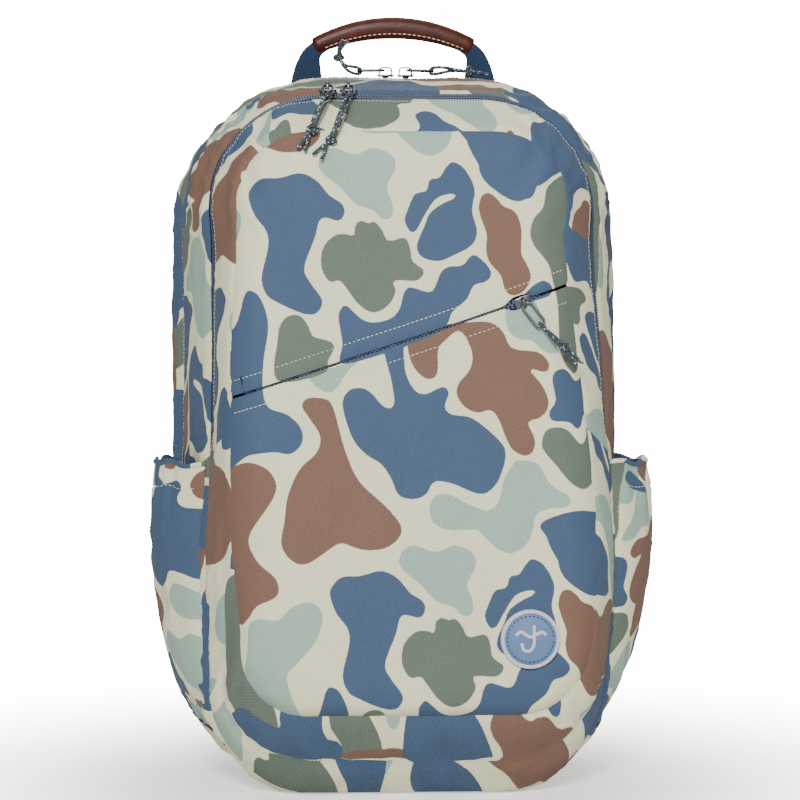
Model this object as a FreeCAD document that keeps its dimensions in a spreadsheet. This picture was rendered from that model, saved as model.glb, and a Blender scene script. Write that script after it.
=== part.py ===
"""Tackle backpack, built as a FreeCAD document.

Frame: X to the wearer's left when the pack is seen from the front, Y towards the wearer, Z up.
The front face looks along -Y, the pack stands on Z = 0 and the origin is the middle of its footprint.
The cloth shell is a row of rounded outlines in planes of constant Y, and each panel is the ring of cloth
between two of them, cut to its own height. All lengths are in millimetres.
"""

import FreeCAD, Part
import math
import os
from FreeCAD import Placement, Rotation, Vector
from Sketcher import Constraint

SIZES = {
    # Outlines of the shell: depth, half width, lowest and highest point, and the two corner radii.
    "back_y": 72, "back_half": 137, "back_low": 0.2, "back_high": 450,
    "back_turn_low": 66, "back_turn_high": 94,
    "main_y": 36, "main_half": 139, "main_low": 0.2, "main_high": 457,
    "main_turn_low": 70, "main_turn_high": 100,
    "fore_y": -42, "fore_half": 123, "fore_low": 0.2, "fore_high": 441,
    "fore_turn_low": 56, "fore_turn_high": 77,
    "face_y": -75, "face_half": 107, "face_low": 54, "face_high": 415,
    "face_turn_low": 40, "face_turn_high": 50,
    "crown_y": -84, "crown_half": 88, "crown_low": 74, "crown_high": 395,
    "crown_turn_low": 24, "crown_turn_high": 34,
    # Cloth, zips and the heights where the panels are cut.
    "cloth": 1.6, "face_cloth": 2.4, "base_rim": 27, "foot_half": 62, "fold_start": 145,
    "main_fold_end": 212, "front_fold_end": 244, "main_end": 190, "chain_half": 5, "chain_gap": 0.8,
    "chain_width": 3.9, "chain_sink": 0.4, "chain_depth": 2.6,
    # Diagonal pocket on the face: a line through (slit_x, slit_z) at slit_angle.
    "slit_x": 0, "slit_z": 285.8, "slit_angle": 18.1, "slit_half": 5, "tape_half": 10, "tape_thick": 1.1,
    "tape_reach": 84, "pocket_bag_low": 240, "pocket_bag_high": 352,
    # Slider, ring and cord of one zip pull.
    "slider_long": 11, "slider_wide": 8, "slider_plate": 1.2, "slider_lift": 0.3, "crown_tall": 5.4,
    "crown_bar": 1.3, "crown_wide": 2.2, "ring_wire": 0.8, "ring_turn": 3.1, "ring_straight": 11,
    "ring_rise": 4.5, "ring_shift": 1, "cord_thick": 2.2, "cord_apart": 1.25, "knot_size": 3.3,
    "knot_round": 0.8, "front_left_x": -46, "front_right_x": -33, "front_ring_tilt": 25,
    "main_ring_tilt": 1, "main_slider_x": 6.5, "pocket_slider_at": 77, "pocket_ring_swing": 38,
    "pocket_ring_lift": 8,
    # Stretch side pockets.
    "pocket_axis_x": 118.3, "pocket_axis_y": 0.8, "pocket_round": 39, "pocket_rear": 34,
    "pocket_front": -38, "pocket_low": 46, "pocket_high": 207, "hem_tall": 17,
    # Inside: board, stiffener, sleeve, divider and organiser.
    "board_half": 72, "board_thick": 2, "board_lift": 2.4, "sheet_thick": 1.5, "sleeve_half": 112,
    "sleeve_low": 26, "sleeve_high": 305, "sleeve_front": 49, "sleeve_wall": 5, "sleeve_rear": 66,
    "divider_y": -34, "divider_thick": 1.4, "organiser_half": 92, "organiser_low": 48,
    "organiser_high": 138, "organiser_deep": 14,
    # Back pads, yoke, shoulder straps and their hardware.
    "pad_thick": 12, "pad_in": 24, "pad_out": 108, "pad_low": 96, "pad_high": 386, "lumbar_low": 34,
    "lumbar_high": 88, "lumbar_half": 82, "yoke_half": 84, "yoke_low": 412, "yoke_high": 440,
    "yoke_thick": 3, "strap_bow_y": -452.5, "strap_bow_z": 251.7, "strap_bow": 558, "strap_thick": 12,
    "strap_lean_x": -1484.7, "strap_lean_z": 12, "strap_lean": 1559, "strap_wide": 58, "strap_low": 128,
    "strap_high": 409, "lock_wide": 36, "lock_tall": 30, "lock_thick": 4, "lock_bar": 4.2, "lock_x": 101,
    "lock_y": 96, "lock_z": 108, "webbing_wide": 25, "webbing_thick": 1.6,
    # Carry handle.
    "handle_y": 68, "handle_z": 451, "grip_bow": 116, "grip_angle": 49, "grip_half": 5.5,
    "grip_core": 3.7, "grip_top": 491.5, "leg_x": 56, "leg_wide": 14, "leg_thick": 1.8, "leg_foot": 451.6,
    "leg_head": 478,
    # Moulded badge.
    "badge_x": 77.7, "badge_z": 102.5, "badge_half": 18.3, "badge_thick": 2.4, "badge_rim": 2.6,
    "badge_sink": 0.8,
}

doc = FreeCAD.newDocument("TackleBackpack")
sheet = doc.addObject("Spreadsheet::Sheet", "Sizes")
for row, (alias, value) in enumerate(SIZES.items(), start=1):
    sheet.set(f"A{row}", alias)
    sheet.set(f"B{row}", str(value))
    sheet.setAlias(f"B{row}", alias)
doc.recompute()

FACING_FRONT = Rotation(Vector(1, 0, 0), 90)
SUB_PARTS = []


def cell(expression):
    """The expression with each alias read from the sheet, for a property's binding."""
    words = []
    for word in str(expression).split():
        words.append(f"Sizes.{word}" if word in SIZES else word)
    return " ".join(words)


def size(expression):
    """The expression's value now, for geometry that a script has to place itself."""
    return float(sheet.evalExpression(cell(expression).replace("Sizes.", "")))


def sub_part(label, obj):
    """Names a finished object, so that it is written out as a sub-part."""
    obj.Label = label
    SUB_PARTS.append(obj)
    return obj


def bind(obj, **properties):
    """Binds properties to expressions; a double underscore stands for a dot."""
    for name, expression in properties.items():
        path = name.replace("__", ".")
        obj.setExpression("." + path if "." in path else path, cell(expression))
    return obj


def block(name, x0, x1, y0, y1, z0, z1):
    """A box between two corners, each given as an expression."""
    box = doc.addObject("Part::Box", name)
    bind(box, Length=f"{x1} - ( {x0} )", Width=f"{y1} - ( {y0} )", Height=f"{z1} - ( {z0} )")
    return bind(box, Placement__Base__x=x0, Placement__Base__y=y0, Placement__Base__z=z0)


def rod(name, radius, height):
    """A cylinder along Z from the origin."""
    cylinder = doc.addObject("Part::Cylinder", name)
    return bind(cylinder, Radius=radius, Height=height)


def cut(name, base, tool):
    result = doc.addObject("Part::Cut", name)
    result.Base, result.Tool = base, tool
    return result


def common(name, *shapes):
    result = doc.addObject("Part::MultiCommon", name)
    result.Shapes = list(shapes)
    return result


def fuse(name, *shapes):
    result = doc.addObject("Part::MultiFuse", name)
    result.Shapes = list(shapes)
    return result


def placed(obj, position, rotation=Rotation()):
    obj.Placement = Placement(position, rotation)
    return obj


# ---------------------------------------------------------------- outlines and cloth rings


def outline(name, section, depth, inset):
    """A rounded rectangle in the plane Y = depth: the section's outline, moved in by inset."""
    half = size(f"{section}_half - {inset}")
    tall = size(f"{section}_high - {section}_low - 2 * {inset}")
    low = size(f"{section}_turn_low - {inset}")
    high = size(f"{section}_turn_high - {inset}")
    sketch = doc.addObject("Sketcher::SketchObject", name)
    corners = (
        (Vector(half - low, low, 0), low, -90),
        (Vector(half - high, tall - high, 0), high, 0),
        (Vector(high - half, tall - high, 0), high, 90),
        (Vector(low - half, low, 0), low, 180),
    )
    sides = (
        (Vector(low - half, 0, 0), Vector(half - low, 0, 0)),
        (Vector(half, low, 0), Vector(half, tall - high, 0)),
        (Vector(half - high, tall, 0), Vector(high - half, tall, 0)),
        (Vector(-half, tall - high, 0), Vector(-half, low, 0)),
    )
    for (start, end), (centre, radius, angle) in zip(sides, corners):
        sketch.addGeometry(Part.LineSegment(start, end), False)
        circle = Part.Circle(centre, Vector(0, 0, 1), radius)
        sweep = (math.radians(angle), math.radians(angle + 90))
        sketch.addGeometry(Part.ArcOfCircle(circle, *sweep), False)
    for k in range(8):
        sketch.addConstraint(Constraint("Tangent", k, 2, (k + 1) % 8, 1))
    sketch.addConstraint(Constraint("Vertical", 2))
    sketch.addConstraint(Constraint("Vertical", 6))
    sketch.addConstraint(Constraint("Symmetric", 0, 1, 0, 2, -2))
    sketch.addConstraint(Constraint("Symmetric", 4, 1, 4, 2, -2))
    sketch.addConstraint(Constraint("PointOnObject", 0, 1, -1))
    named = (
        ("half", Constraint("DistanceX", -1, 1, 2, 1, half), f"{section}_half - {inset}"),
        ("tall", Constraint("DistanceY", 0, 2, 4, 1, tall), f"{section}_high - {section}_low - 2 * {inset}"),
        ("low", Constraint("Radius", 1, low), f"{section}_turn_low - {inset}"),
        ("high", Constraint("Radius", 3, high), f"{section}_turn_high - {inset}"),
    )
    for constraint_name, constraint, expression in named:
        index = sketch.addConstraint(constraint)
        sketch.renameConstraint(index, constraint_name)
        sketch.setExpression(f"Constraints.{constraint_name}", cell(expression))
    sketch.addConstraint(Constraint("Equal", 1, 7))
    placed(sketch, Vector(0, size(depth), size(f"{section}_low + {inset}")), FACING_FRONT)
    return bind(sketch, Placement__Base__y=depth, Placement__Base__z=f"{section}_low + {inset}")


def loft(name, near, far):
    solid = doc.addObject("Part::Loft", name)
    solid.Sections, solid.Solid, solid.Ruled = [near, far], True, True
    return solid


def filled(name, near, near_y, far, far_y, inset="0"):
    """The solid between two outlines."""
    return loft(
        name, outline(name + "_near", near, near_y, inset), outline(name + "_far", far, far_y, inset)
    )


def ring(name, near, near_y, far, far_y, out="0", deep="cloth"):
    """The wall between two outlines: its outer face is moved in by out, its inner face by deep."""
    outside = filled(name + "_out", near, near_y, far, far_y, out)
    inside = filled(name + "_in", near, near_y, far, far_y, deep)
    return cut(name + "_wall", outside, inside)


def between(name, wall, low, high, near="-120", far="120"):
    """The part of a wall between two heights, and between two depths if they are given."""
    slab = block(name + "_slab", "-200", "200", near, far, low, high)
    return common(name, wall, slab)


def make_shell():
    """Gussets, base and back panel, each cut to its own stretch of the shell. The gussets stand back
    from each zip by half the width of its chain, down to the zip's end."""
    top = "main_high + 10"
    rear_wall = ring("RearWall", "back", "back_y", "main", "main_y")
    side_wall = ring("SideWall", "main", "main_y", "fore", "fore_y")
    front_wall = ring("FrontWall", "fore", "fore_y", "face", "face_y")
    rear_upper = between("RearUpper", rear_wall, "main_end", top, "main_y + chain_half")
    rear_lower = between("RearLower", rear_wall, "base_rim", "main_end")
    sub_part("rear_gusset", fuse("RearGusset", rear_upper, rear_lower))
    sub_part("side_gusset_lower", between("SideLower", side_wall, "base_rim", "fold_start"))
    span = ("fore_y + chain_half", "main_y - chain_half")
    sub_part("main_zip_gusset", between("SideUpper", side_wall, "main_fold_end", top, *span))
    sub_part("front_gusset_lower", between("FrontLower", front_wall, "base_rim", "fold_start"))
    span = ("-120", "fore_y - chain_half")
    sub_part("front_zip_gusset", between("FrontUpper", front_wall, "front_fold_end", top, *span))
    walls = (("Rear", rear_wall), ("Side", side_wall), ("Front", front_wall))
    trays = [between(name + "Tray", wall, "-1", "base_rim") for name, wall in walls]
    foot = block("Foot", "-1 * foot_half", "foot_half", "fore_y + 4", "back_y - 4", "0", "cloth")
    sub_part("base_panel", fuse("BasePanel", foot, *trays))
    sub_part("back_panel", filled("BackPanel", "back", "back_y", "back", "back_y + cloth"))
    return side_wall, front_wall


def make_zip_chains():
    """The two halves of the main and front zips, each half on its own side of the opening."""
    top = "main_high + 10"
    sides = (
        ("main_zip_rear_half", "main", "rear", "main_end"),
        ("main_zip_front_half", "main", "front", "main_fold_end"),
        ("front_zip_rear_half", "fore", "rear", "main_fold_end"),
        ("front_zip_front_half", "fore", "front", "front_fold_end"),
    )
    for label, section, half, low in sides:
        if half == "rear":
            near_y, far_y = f"{section}_y + chain_gap", f"{section}_y + chain_gap + chain_width"
        else:
            near_y, far_y = f"{section}_y - chain_gap - chain_width", f"{section}_y - chain_gap"
        chain = ring(label.title(), section, near_y, section, far_y, "chain_sink", "chain_depth")
        sub_part(label, between(label.title() + "Cut", chain, low, top))


# ---------------------------------------------------------------- face panel and its diagonal pocket


def along_slit(name, low, high, near_y, far_y, reach):
    """A bar along the diagonal zip line, between two heights measured square to it."""
    bar = doc.addObject("Part::Box", name)
    bind(bar, Length=f"2 * {reach}", Width=f"{far_y} - ( {near_y} )", Height=f"{high} - ( {low} )")
    angle = math.radians(size("slit_angle"))
    along = Vector(math.cos(angle), 0, math.sin(angle))
    across = Vector(-math.sin(angle), 0, math.cos(angle))
    middle = Vector(size("slit_x"), size(near_y), size("slit_z"))
    corner = middle - along * size(reach) + across * size(low)
    return placed(bar, corner, Rotation(Vector(0, -1, 0), size("slit_angle")))


def make_face(side_shut, front_shut):
    outside = filled("FaceOut", "face", "face_y", "crown", "crown_y")
    near = outline("FaceInNear", "face", "face_y", "face_cloth")
    far = outline("FaceInFar", "crown", "crown_y + face_cloth", "face_cloth")
    dish = cut("FaceDish", outside, loft("FaceIn", near, far))
    sub_part("face_panel_lower", between("FaceLower", dish, "face_low - 1", "fold_start"))
    walls = (("Side", side_shut), ("Front", front_shut), ("Face", dish))
    lower = [between(name + "FoldLower", wall, "fold_start", "main_fold_end") for name, wall in walls]
    upper = [between(name + "FoldUpper", wall, "main_fold_end", "front_fold_end") for name, wall in walls[1:]]
    sub_part("lower_fold_band", fuse("LowerFold", *lower))
    sub_part("upper_fold_band", fuse("UpperFold", *upper))
    rest = between("FaceUpper", dish, "front_fold_end", "face_high + 1")
    above = along_slit("AboveSlit", "slit_half", "400", "crown_y - 5", "face_y + 5", "300")
    below = along_slit("BelowSlit", "-400", "-1 * slit_half", "crown_y - 5", "face_y + 5", "300")
    sub_part("face_panel_top", common("FaceTop", rest, above))
    sub_part("face_panel_middle", common("FaceMiddle", rest, below))
    depths = ("crown_y + face_cloth + 0.3", "crown_y + face_cloth + 0.3 + tape_thick")
    tapes = [
        along_slit("TapeUpper", "chain_gap", "tape_half", *depths, "tape_reach"),
        along_slit("TapeLower", "-1 * tape_half", "-1 * chain_gap", *depths, "tape_reach"),
    ]
    sub_part("pocket_zip_tape", fuse("PocketTape", *tapes))
    bag = block(
        "PocketBag", "2 - crown_half", "crown_half - 2", "crown_y + 8", "crown_y + 9",
        "pocket_bag_low", "pocket_bag_high",
    )
    sub_part("pocket_bag", bag)


def make_badge():
    """A round moulded badge with a raised rim, turned about the Y axis."""
    body = doc.addObject("PartDesign::Body", "Badge")
    plane = next(f for f in body.Origin.OriginFeatures if f.Role == "XY_Plane")
    sketch = body.newObject("Sketcher::SketchObject", "BadgeProfile")
    sketch.AttachmentSupport, sketch.MapMode = [(plane, "")], "FlatFace"
    half, thick = size("badge_half"), size("badge_thick")
    rim, sink = size("badge_rim"), size("badge_sink")
    corners = (
        Vector(0, 0, 0), Vector(half, 0, 0), Vector(half, thick, 0), Vector(half - rim, thick, 0),
        Vector(half - rim, thick - sink, 0), Vector(0, thick - sink, 0),
    )
    for k, corner in enumerate(corners):
        sketch.addGeometry(Part.LineSegment(corner, corners[(k + 1) % 6]), False)
    for k in range(6):
        sketch.addConstraint(Constraint("Coincident", k, 2, (k + 1) % 6, 1))
    for k, way in enumerate(("Horizontal", "Vertical") * 3):
        sketch.addConstraint(Constraint(way, k))
    sketch.addConstraint(Constraint("Coincident", 0, 1, -1, 1))
    named = (
        ("half", Constraint("DistanceX", 0, 1, 0, 2, half), "badge_half"),
        ("thick", Constraint("DistanceY", 1, 1, 1, 2, thick), "badge_thick"),
        ("rim", Constraint("DistanceX", 2, 2, 2, 1, rim), "badge_rim"),
        ("sink", Constraint("DistanceY", 3, 2, 3, 1, sink), "badge_sink"),
    )
    for constraint_name, constraint, expression in named:
        index = sketch.addConstraint(constraint)
        sketch.renameConstraint(index, constraint_name)
        sketch.setExpression(f"Constraints.{constraint_name}", cell(expression))
    turn = body.newObject("PartDesign::Revolution", "BadgeTurn")
    turn.Profile, turn.ReferenceAxis, turn.Angle = sketch, (sketch, ["V_Axis"]), 360
    place = Vector(size("badge_x"), size("crown_y - 0.3"), size("badge_z"))
    placed(body, place, Rotation(Vector(0, 0, 1), 180))
    sub_part("badge", body)


# ---------------------------------------------------------------- zip pulls


def make_slider(label, place, rotation, across):
    """One zip slider, travelling along its own X with the cloth in its XY plane. Its crown takes a ring
    that hangs sideways if across is true, and lengthways if not."""
    plate = doc.addObject("Part::Box", label + "_plate")
    bind(plate, Length="slider_long", Width="slider_wide", Height="slider_plate")
    placed(plate, Vector(-size("slider_long") / 2, -size("slider_wide") / 2, size("slider_lift")))
    under = doc.addObject("Part::Box", label + "_under")
    bind(under, Length="slider_long", Width="slider_wide", Height="slider_plate")
    drop = size("chain_depth + slider_lift + slider_plate")
    placed(under, Vector(-size("slider_long") / 2, -size("slider_wide") / 2, -drop))
    post = doc.addObject("Part::Box", label + "_post")
    bind(post, Length="slider_long / 3", Width="chain_gap + 0.1", Height="chain_depth + 3 * slider_lift")
    post_drop = size("chain_depth + 1.5 * slider_lift")
    placed(post, Vector(-size("slider_long") / 6, -size("chain_gap + 0.1") / 2, -post_drop))
    long = "slider_wide - 1.4" if across else "slider_long - 1.6"
    arch = doc.addObject("Part::Box", label + "_arch")
    bind(arch, Length=long, Width="crown_wide", Height="crown_tall")
    hole = doc.addObject("Part::Box", label + "_hole")
    bind(hole, Length=f"{long} - 2 * crown_bar", Width="crown_wide + 2", Height="crown_tall - crown_bar")
    turn = Rotation(Vector(0, 0, 1), 90) if across else Rotation()
    deck = size("slider_lift + slider_plate") - 0.02
    for box, width in ((arch, "crown_wide"), (hole, "crown_wide + 2")):
        corner = Vector(-size(str(long if box is arch else long + " - 2 * crown_bar")) / 2, -size(width) / 2, 0)
        placed(box, turn.multVec(corner) + Vector(0, 0, deck), turn)
    bridge = cut(label + "_bridge", arch, hole)
    whole = fuse(label + "_whole", plate, under, post, bridge)
    sub_part(label, placed(whole, place, rotation))


def make_ring(label, place, rotation):
    """An oval wire ring. Its near end is at its own origin and it reaches along its own -Y."""
    ends = []
    for k, (turned, shift) in enumerate(((0, "-1 * ring_turn"), (180, "-1 * ring_turn - ring_straight"))):
        arc = doc.addObject("Part::Torus", f"{label}_end{k}")
        bind(arc, Radius1="ring_turn", Radius2="ring_wire")
        arc.Angle3 = 180
        placed(arc, Vector(0, size(shift), 0), Rotation(Vector(0, 0, 1), turned))
        ends.append(arc)
    for k, side in enumerate((-1, 1)):
        wire = rod(f"{label}_side{k}", "ring_wire", "ring_straight")
        spot = Vector(side * size("ring_turn"), -size("ring_turn + ring_straight"), 0)
        ends.append(placed(wire, spot, Rotation(Vector(1, 0, 0), -90)))
    sub_part(label, placed(fuse(label + "_whole", *ends), place, rotation))


def rounded_path(points):
    """Straight runs joined by tangent arcs, as large as their runs allow."""
    edges, start = [], points[0]
    radii = []
    for before, corner, after in zip(points, points[1:], points[2:]):
        inward = (before - corner).normalize()
        onward = (after - corner).normalize()
        turn = math.pi - inward.getAngle(onward)
        shorter = min((before - corner).Length, (after - corner).Length)
        reach = 0.45 * shorter
        radius = reach / math.tan(turn / 2)
        radii.append(radius)
        first, last = corner + inward * reach, corner + onward * reach
        bisector = (inward + onward).normalize()
        middle = corner + bisector * (radius / math.cos(turn / 2) - radius)
        edges.append(Part.LineSegment(start, first).toShape())
        edges.append(Part.Arc(first, middle, last).toShape())
        start = last
    edges.append(Part.LineSegment(start, points[-1]).toShape())
    return Part.Wire(edges), radii


# Each pull's cord: points midway between its two strands, from just past the ring to the knot and the tails.
PULL_CORDS = {
    "front_cord_left": ((-46.8, -61.4, 435.9), (-50, -67.4, 430.8), (-53.2, -74.6, 424.6),
                        (-56.6, -80.6, 415), (-61.5, -85, 402.5)),
    "front_cord_right": ((-33.8, -61.4, 435.9), (-36, -67.4, 430.6), (-38.6, -75, 424.4),
                         (-41.4, -80.6, 416.6), (-44.6, -83.4, 408.8), (-52.8, -87, 398.4)),
    "main_cord_left": ((-27.9, 36.2, 461.6), (-33.4, 36.7, 463.6), (-37, 37.2, 470), (-36.2, 38, 480.5)),
    "main_cord_right": ((27.9, 36.2, 461.6), (35, 36.9, 462.2), (41.5, 37.6, 461.8), (48.5, 38.4, 461),
                        (58.8, 39.6, 459.2)),
    "pocket_cord": ((86.5, -88.4, 293.2), (90.9, -89.4, 288.4), (98, -90.6, 281.6), (105.2, -90.9, 272)),
}


def make_cord(label, tip, normal):
    """A thin cord folded over its ring's far wire, at tip, with its two strands tied in one knot. The strands
    pass either side of the wire along normal, and then turn to lie side by side on the cloth."""
    points = [Vector(*p) for p in PULL_CORDS[label]]
    apart, radius = size("cord_apart"), size("cord_thick") / 2
    ahead = (points[0] - tip).normalize()
    spreads = [2.2] + [apart] * (len(points) - 2) + [2 * apart]
    strands = []
    for sign in (-1, 1):
        strand = [tip - ahead * 2.3 + normal * sign * 2.5]
        for k, (point, spread) in enumerate(zip(points, spreads)):
            onward = (points[min(k + 1, len(points) - 1)] - points[max(k - 1, 0)]).normalize()
            share = min(1, k / 2)
            beside = onward.cross(normal)
            across = (normal * (1 - share) + beside * share).normalize()
            strand.append(point + across * sign * spread)
        strands.append(strand)
    path, radii = rounded_path(strands[0][::-1] + strands[1])
    start = path.Edges[0]
    circle = Part.Circle(start.valueAt(start.FirstParameter), start.tangentAt(start.FirstParameter), radius)
    tube = path.makePipeShell([Part.Wire(circle.toShape())], True, False)
    expected = math.pi * radius**2 * path.Length
    volumes = f"volume {tube.Volume:.0f} of {expected:.0f}"
    print(f"{label}: length {path.Length:.1f}, {volumes}, radius {min(radii):.2f}")
    axis = (points[-1] - points[-3]).normalize()
    tall = size("2 * knot_size")
    knot = Part.makeCylinder(size("knot_size"), tall, points[-2] - axis * tall / 2, axis)
    knot = knot.makeFillet(size("knot_round"), [edge for edge in knot.Edges if edge.Closed])
    feature = doc.addObject("Part::Feature", label.title())
    feature.Shape = tube.fuse(knot).removeSplitter()
    if feature.Shape.Volume < expected:
        raise SystemExit(f"{label} lost part of its cord")
    sub_part(label, feature)


def make_pull(name, place, slider_turn, across, ring_turn):
    """A slider, its ring and the ring's cord. The ring's near wire lies in the slider's crown."""
    make_slider(name.replace("@", "slider"), place, slider_turn, across)
    reach = ring_turn.multVec(Vector(0, -1, 0))
    rise = slider_turn.multVec(Vector(0, 0, 1))
    pivot = place + rise * size("ring_rise") + reach * size("ring_shift")
    make_ring(name.replace("@", "ring"), pivot, ring_turn)
    tip = pivot + reach * size("2 * ring_turn + ring_straight")
    make_cord(name.replace("@", "cord"), tip, ring_turn.multVec(Vector(0, 0, 1)))


def make_pulls():
    """Two pulls that meet on each long zip and one on the diagonal pocket."""
    flat = Rotation()
    for side, x in (("left", "front_left_x"), ("right", "front_right_x")):
        place = Vector(size(x), size("fore_y"), size("fore_high"))
        make_pull(f"front_@_{side}", place, flat, True, Rotation(Vector(1, 0, 0), size("front_ring_tilt")))
    for side, sign in (("left", -1), ("right", 1)):
        place = Vector(sign * size("main_slider_x"), size("main_y"), size("main_high"))
        lie = Rotation(Vector(0, 1, 0), sign * size("main_ring_tilt")) * Rotation(Vector(0, 0, 1), 90 * sign)
        make_pull(f"main_@_{side}", place, flat, False, lie)
    angle = size("slit_angle")
    along = Vector(math.cos(math.radians(angle)), 0, math.sin(math.radians(angle)))
    tape_y = size("crown_y + face_cloth + 0.3")
    place = Vector(size("slit_x"), tape_y, size("slit_z")) + along * size("pocket_slider_at")
    lay = Rotation(Vector(0, -1, 0), angle) * Rotation(Vector(1, 0, 0), 90)
    swing = Rotation(Vector(0, -1, 0), size("pocket_ring_swing"))
    make_pull("pocket_@", place, lay, True, swing * Rotation(Vector(1, 0, 0), 90 - size("pocket_ring_lift")))


# ---------------------------------------------------------------- side pockets


def make_side_pockets():
    """Two upright bowed pockets, closed below, each with a gathered hem at the mouth."""
    shell = filled("PocketShell", "main", "main_y", "fore", "fore_y", "-1.8")
    pieces = (
        ("Wall", "pocket_low", "pocket_high - pocket_low - hem_tall - 0.3", "cloth"),
        ("Floor", "pocket_low", "cloth", None),
        ("Hem", "pocket_high - hem_tall", "hem_tall", "cloth + 0.8"),
    )
    for side, sign in (("left", -1), ("right", 1)):
        reach = ("pocket_axis_x + 2", "pocket_axis_x + 60")
        if sign < 0:
            reach = ("-1 * pocket_axis_x - 60", "-1 * pocket_axis_x - 2")
        clip = block(f"PocketClip{side}", *reach, "pocket_front", "pocket_rear", "0", "300")
        done = {}
        for name, low, tall, deep in pieces:
            axis = Vector(sign * size("pocket_axis_x"), size("pocket_axis_y"), size(low))
            bowl = placed(rod(f"{name}{side}Out", "pocket_round", tall), axis)
            if deep:
                hollow = placed(rod(f"{name}{side}In", f"pocket_round - ( {deep} )", tall), axis)
                bowl = cut(f"{name}{side}Tube", bowl, hollow)
            done[name] = cut(f"{name}{side}Free", common(f"{name}{side}Bow", bowl, clip), shell)
        sub_part(f"side_pocket_{side}", fuse(f"Pocket{side}", done["Wall"], done["Floor"]))
        sub_part(f"pocket_hem_{side}", done["Hem"])


# ---------------------------------------------------------------- inside of the pack


def make_inside():
    board_depth = ("fore_y + 8", "back_y - 6")
    board_height = ("board_lift", "board_lift + board_thick")
    sub_part("base_board", block("BaseBoard", "-1 * board_half", "board_half", *board_depth, *board_height))
    frame = filled("FrameSheet", "back", "back_y - sheet_thick - 0.3", "back", "back_y - 0.3", "12")
    sub_part("back_frame_sheet", frame)
    outer = block("SleeveOut", "-1 * sleeve_half", "sleeve_half", "sleeve_front", "sleeve_rear + 2",
                  "sleeve_low", "sleeve_high")
    inner = block("SleeveIn", "2 - sleeve_half", "sleeve_half - 2", "sleeve_front + sleeve_wall", "sleeve_rear",
                  "sleeve_low + 4", "sleeve_high + 1")
    sub_part("laptop_sleeve", cut("LaptopSleeve", outer, inner))
    near, far = "divider_y - divider_thick", "divider_y"
    plate = filled("Divider", "fore", near, "fore", far, "( cloth + 3 )")
    sub_part("divider_lower", between("DividerLower", plate, "base_rim + 2", "fold_start"))
    sub_part("divider_fold", between("DividerFold", plate, "fold_start", "main_fold_end"))
    sub_part("divider_upper", between("DividerUpper", plate, "main_fold_end", "fore_high"))
    front = "divider_y - divider_thick - 0.3 - organiser_deep"
    pouch = block("OrganiserOut", "-1 * organiser_half", "organiser_half", front,
                  "divider_y - divider_thick - 0.3", "organiser_low", "organiser_high")
    cells = [
        block(f"OrganiserCell{k}", left, right, f"{front} + cloth", "divider_y - divider_thick - 0.3 - 1",
              "organiser_low + cloth", "organiser_high + 1")
        for k, (left, right) in enumerate(
            (("cloth - organiser_half", "-0.8"), ("0.8", "organiser_half - cloth"))
        )
    ]
    sub_part("organiser_pocket", cut("Organiser", cut("OrganiserA", pouch, cells[0]), cells[1]))


# ---------------------------------------------------------------- back pads, straps and hardware


def make_back():
    near = "back_y + cloth + 0.3"
    far = "back_y + cloth + 0.3 + pad_thick"
    sub_part("back_pad_left", block("PadLeft", "-1 * pad_out", "-1 * pad_in", near, far, "pad_low", "pad_high"))
    sub_part("back_pad_right", block("PadRight", "pad_in", "pad_out", near, far, "pad_low", "pad_high"))
    sub_part("lumbar_pad", block("PadLumbar", "-1 * lumbar_half", "lumbar_half", near, far, "lumbar_low",
                                 "lumbar_high"))
    yoke_depth = (near, f"{near} + yoke_thick")
    sub_part("strap_yoke", block("Yoke", "-1 * yoke_half", "yoke_half", *yoke_depth, "yoke_low", "yoke_high"))


def hoop(name, inner, thick, axis_y, position):
    """A wide thin-walled tube about X, or about Y if axis_y is true, from which a strap is cut."""
    tubes = []
    for suffix, radius in (("Out", f"{inner} + {thick}"), ("In", inner)):
        tube = rod(name + suffix, radius, "400")
        if axis_y:
            placed(tube, position + Vector(0, 250, 0), Rotation(Vector(1, 0, 0), 90))
        else:
            placed(tube, position - Vector(200, 0, 0), Rotation(Vector(0, 1, 0), 90))
        tubes.append(tube)
    return cut(name, *tubes)


def ribbon(name, points, thick, wide, middle_x):
    """A flat webbing band through points (y, z), thick in that plane and wide along X."""
    left, right = [], []
    for k, point in enumerate(points):
        ways = []
        if k > 0:
            ways.append((point - points[k - 1]).normalize())
        if k < len(points) - 1:
            ways.append((points[k + 1] - point).normalize())
        normals = [Vector(0, -w.z, w.y) for w in ways]
        mitre = normals[0] if len(normals) == 1 else (normals[0] + normals[1]).normalize()
        reach = size(thick) / 2 / max(0.3, mitre.dot(normals[0]))
        left.append(point + mitre * reach)
        right.append(point - mitre * reach)
    wire = Part.makePolygon(left + right[::-1] + [left[0]])
    band = doc.addObject("Part::Feature", name)
    band.Shape = Part.Face(wire).extrude(Vector(size(wide), 0, 0))
    return placed(band, Vector(middle_x - size(wide) / 2, 0, 0))


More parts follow.
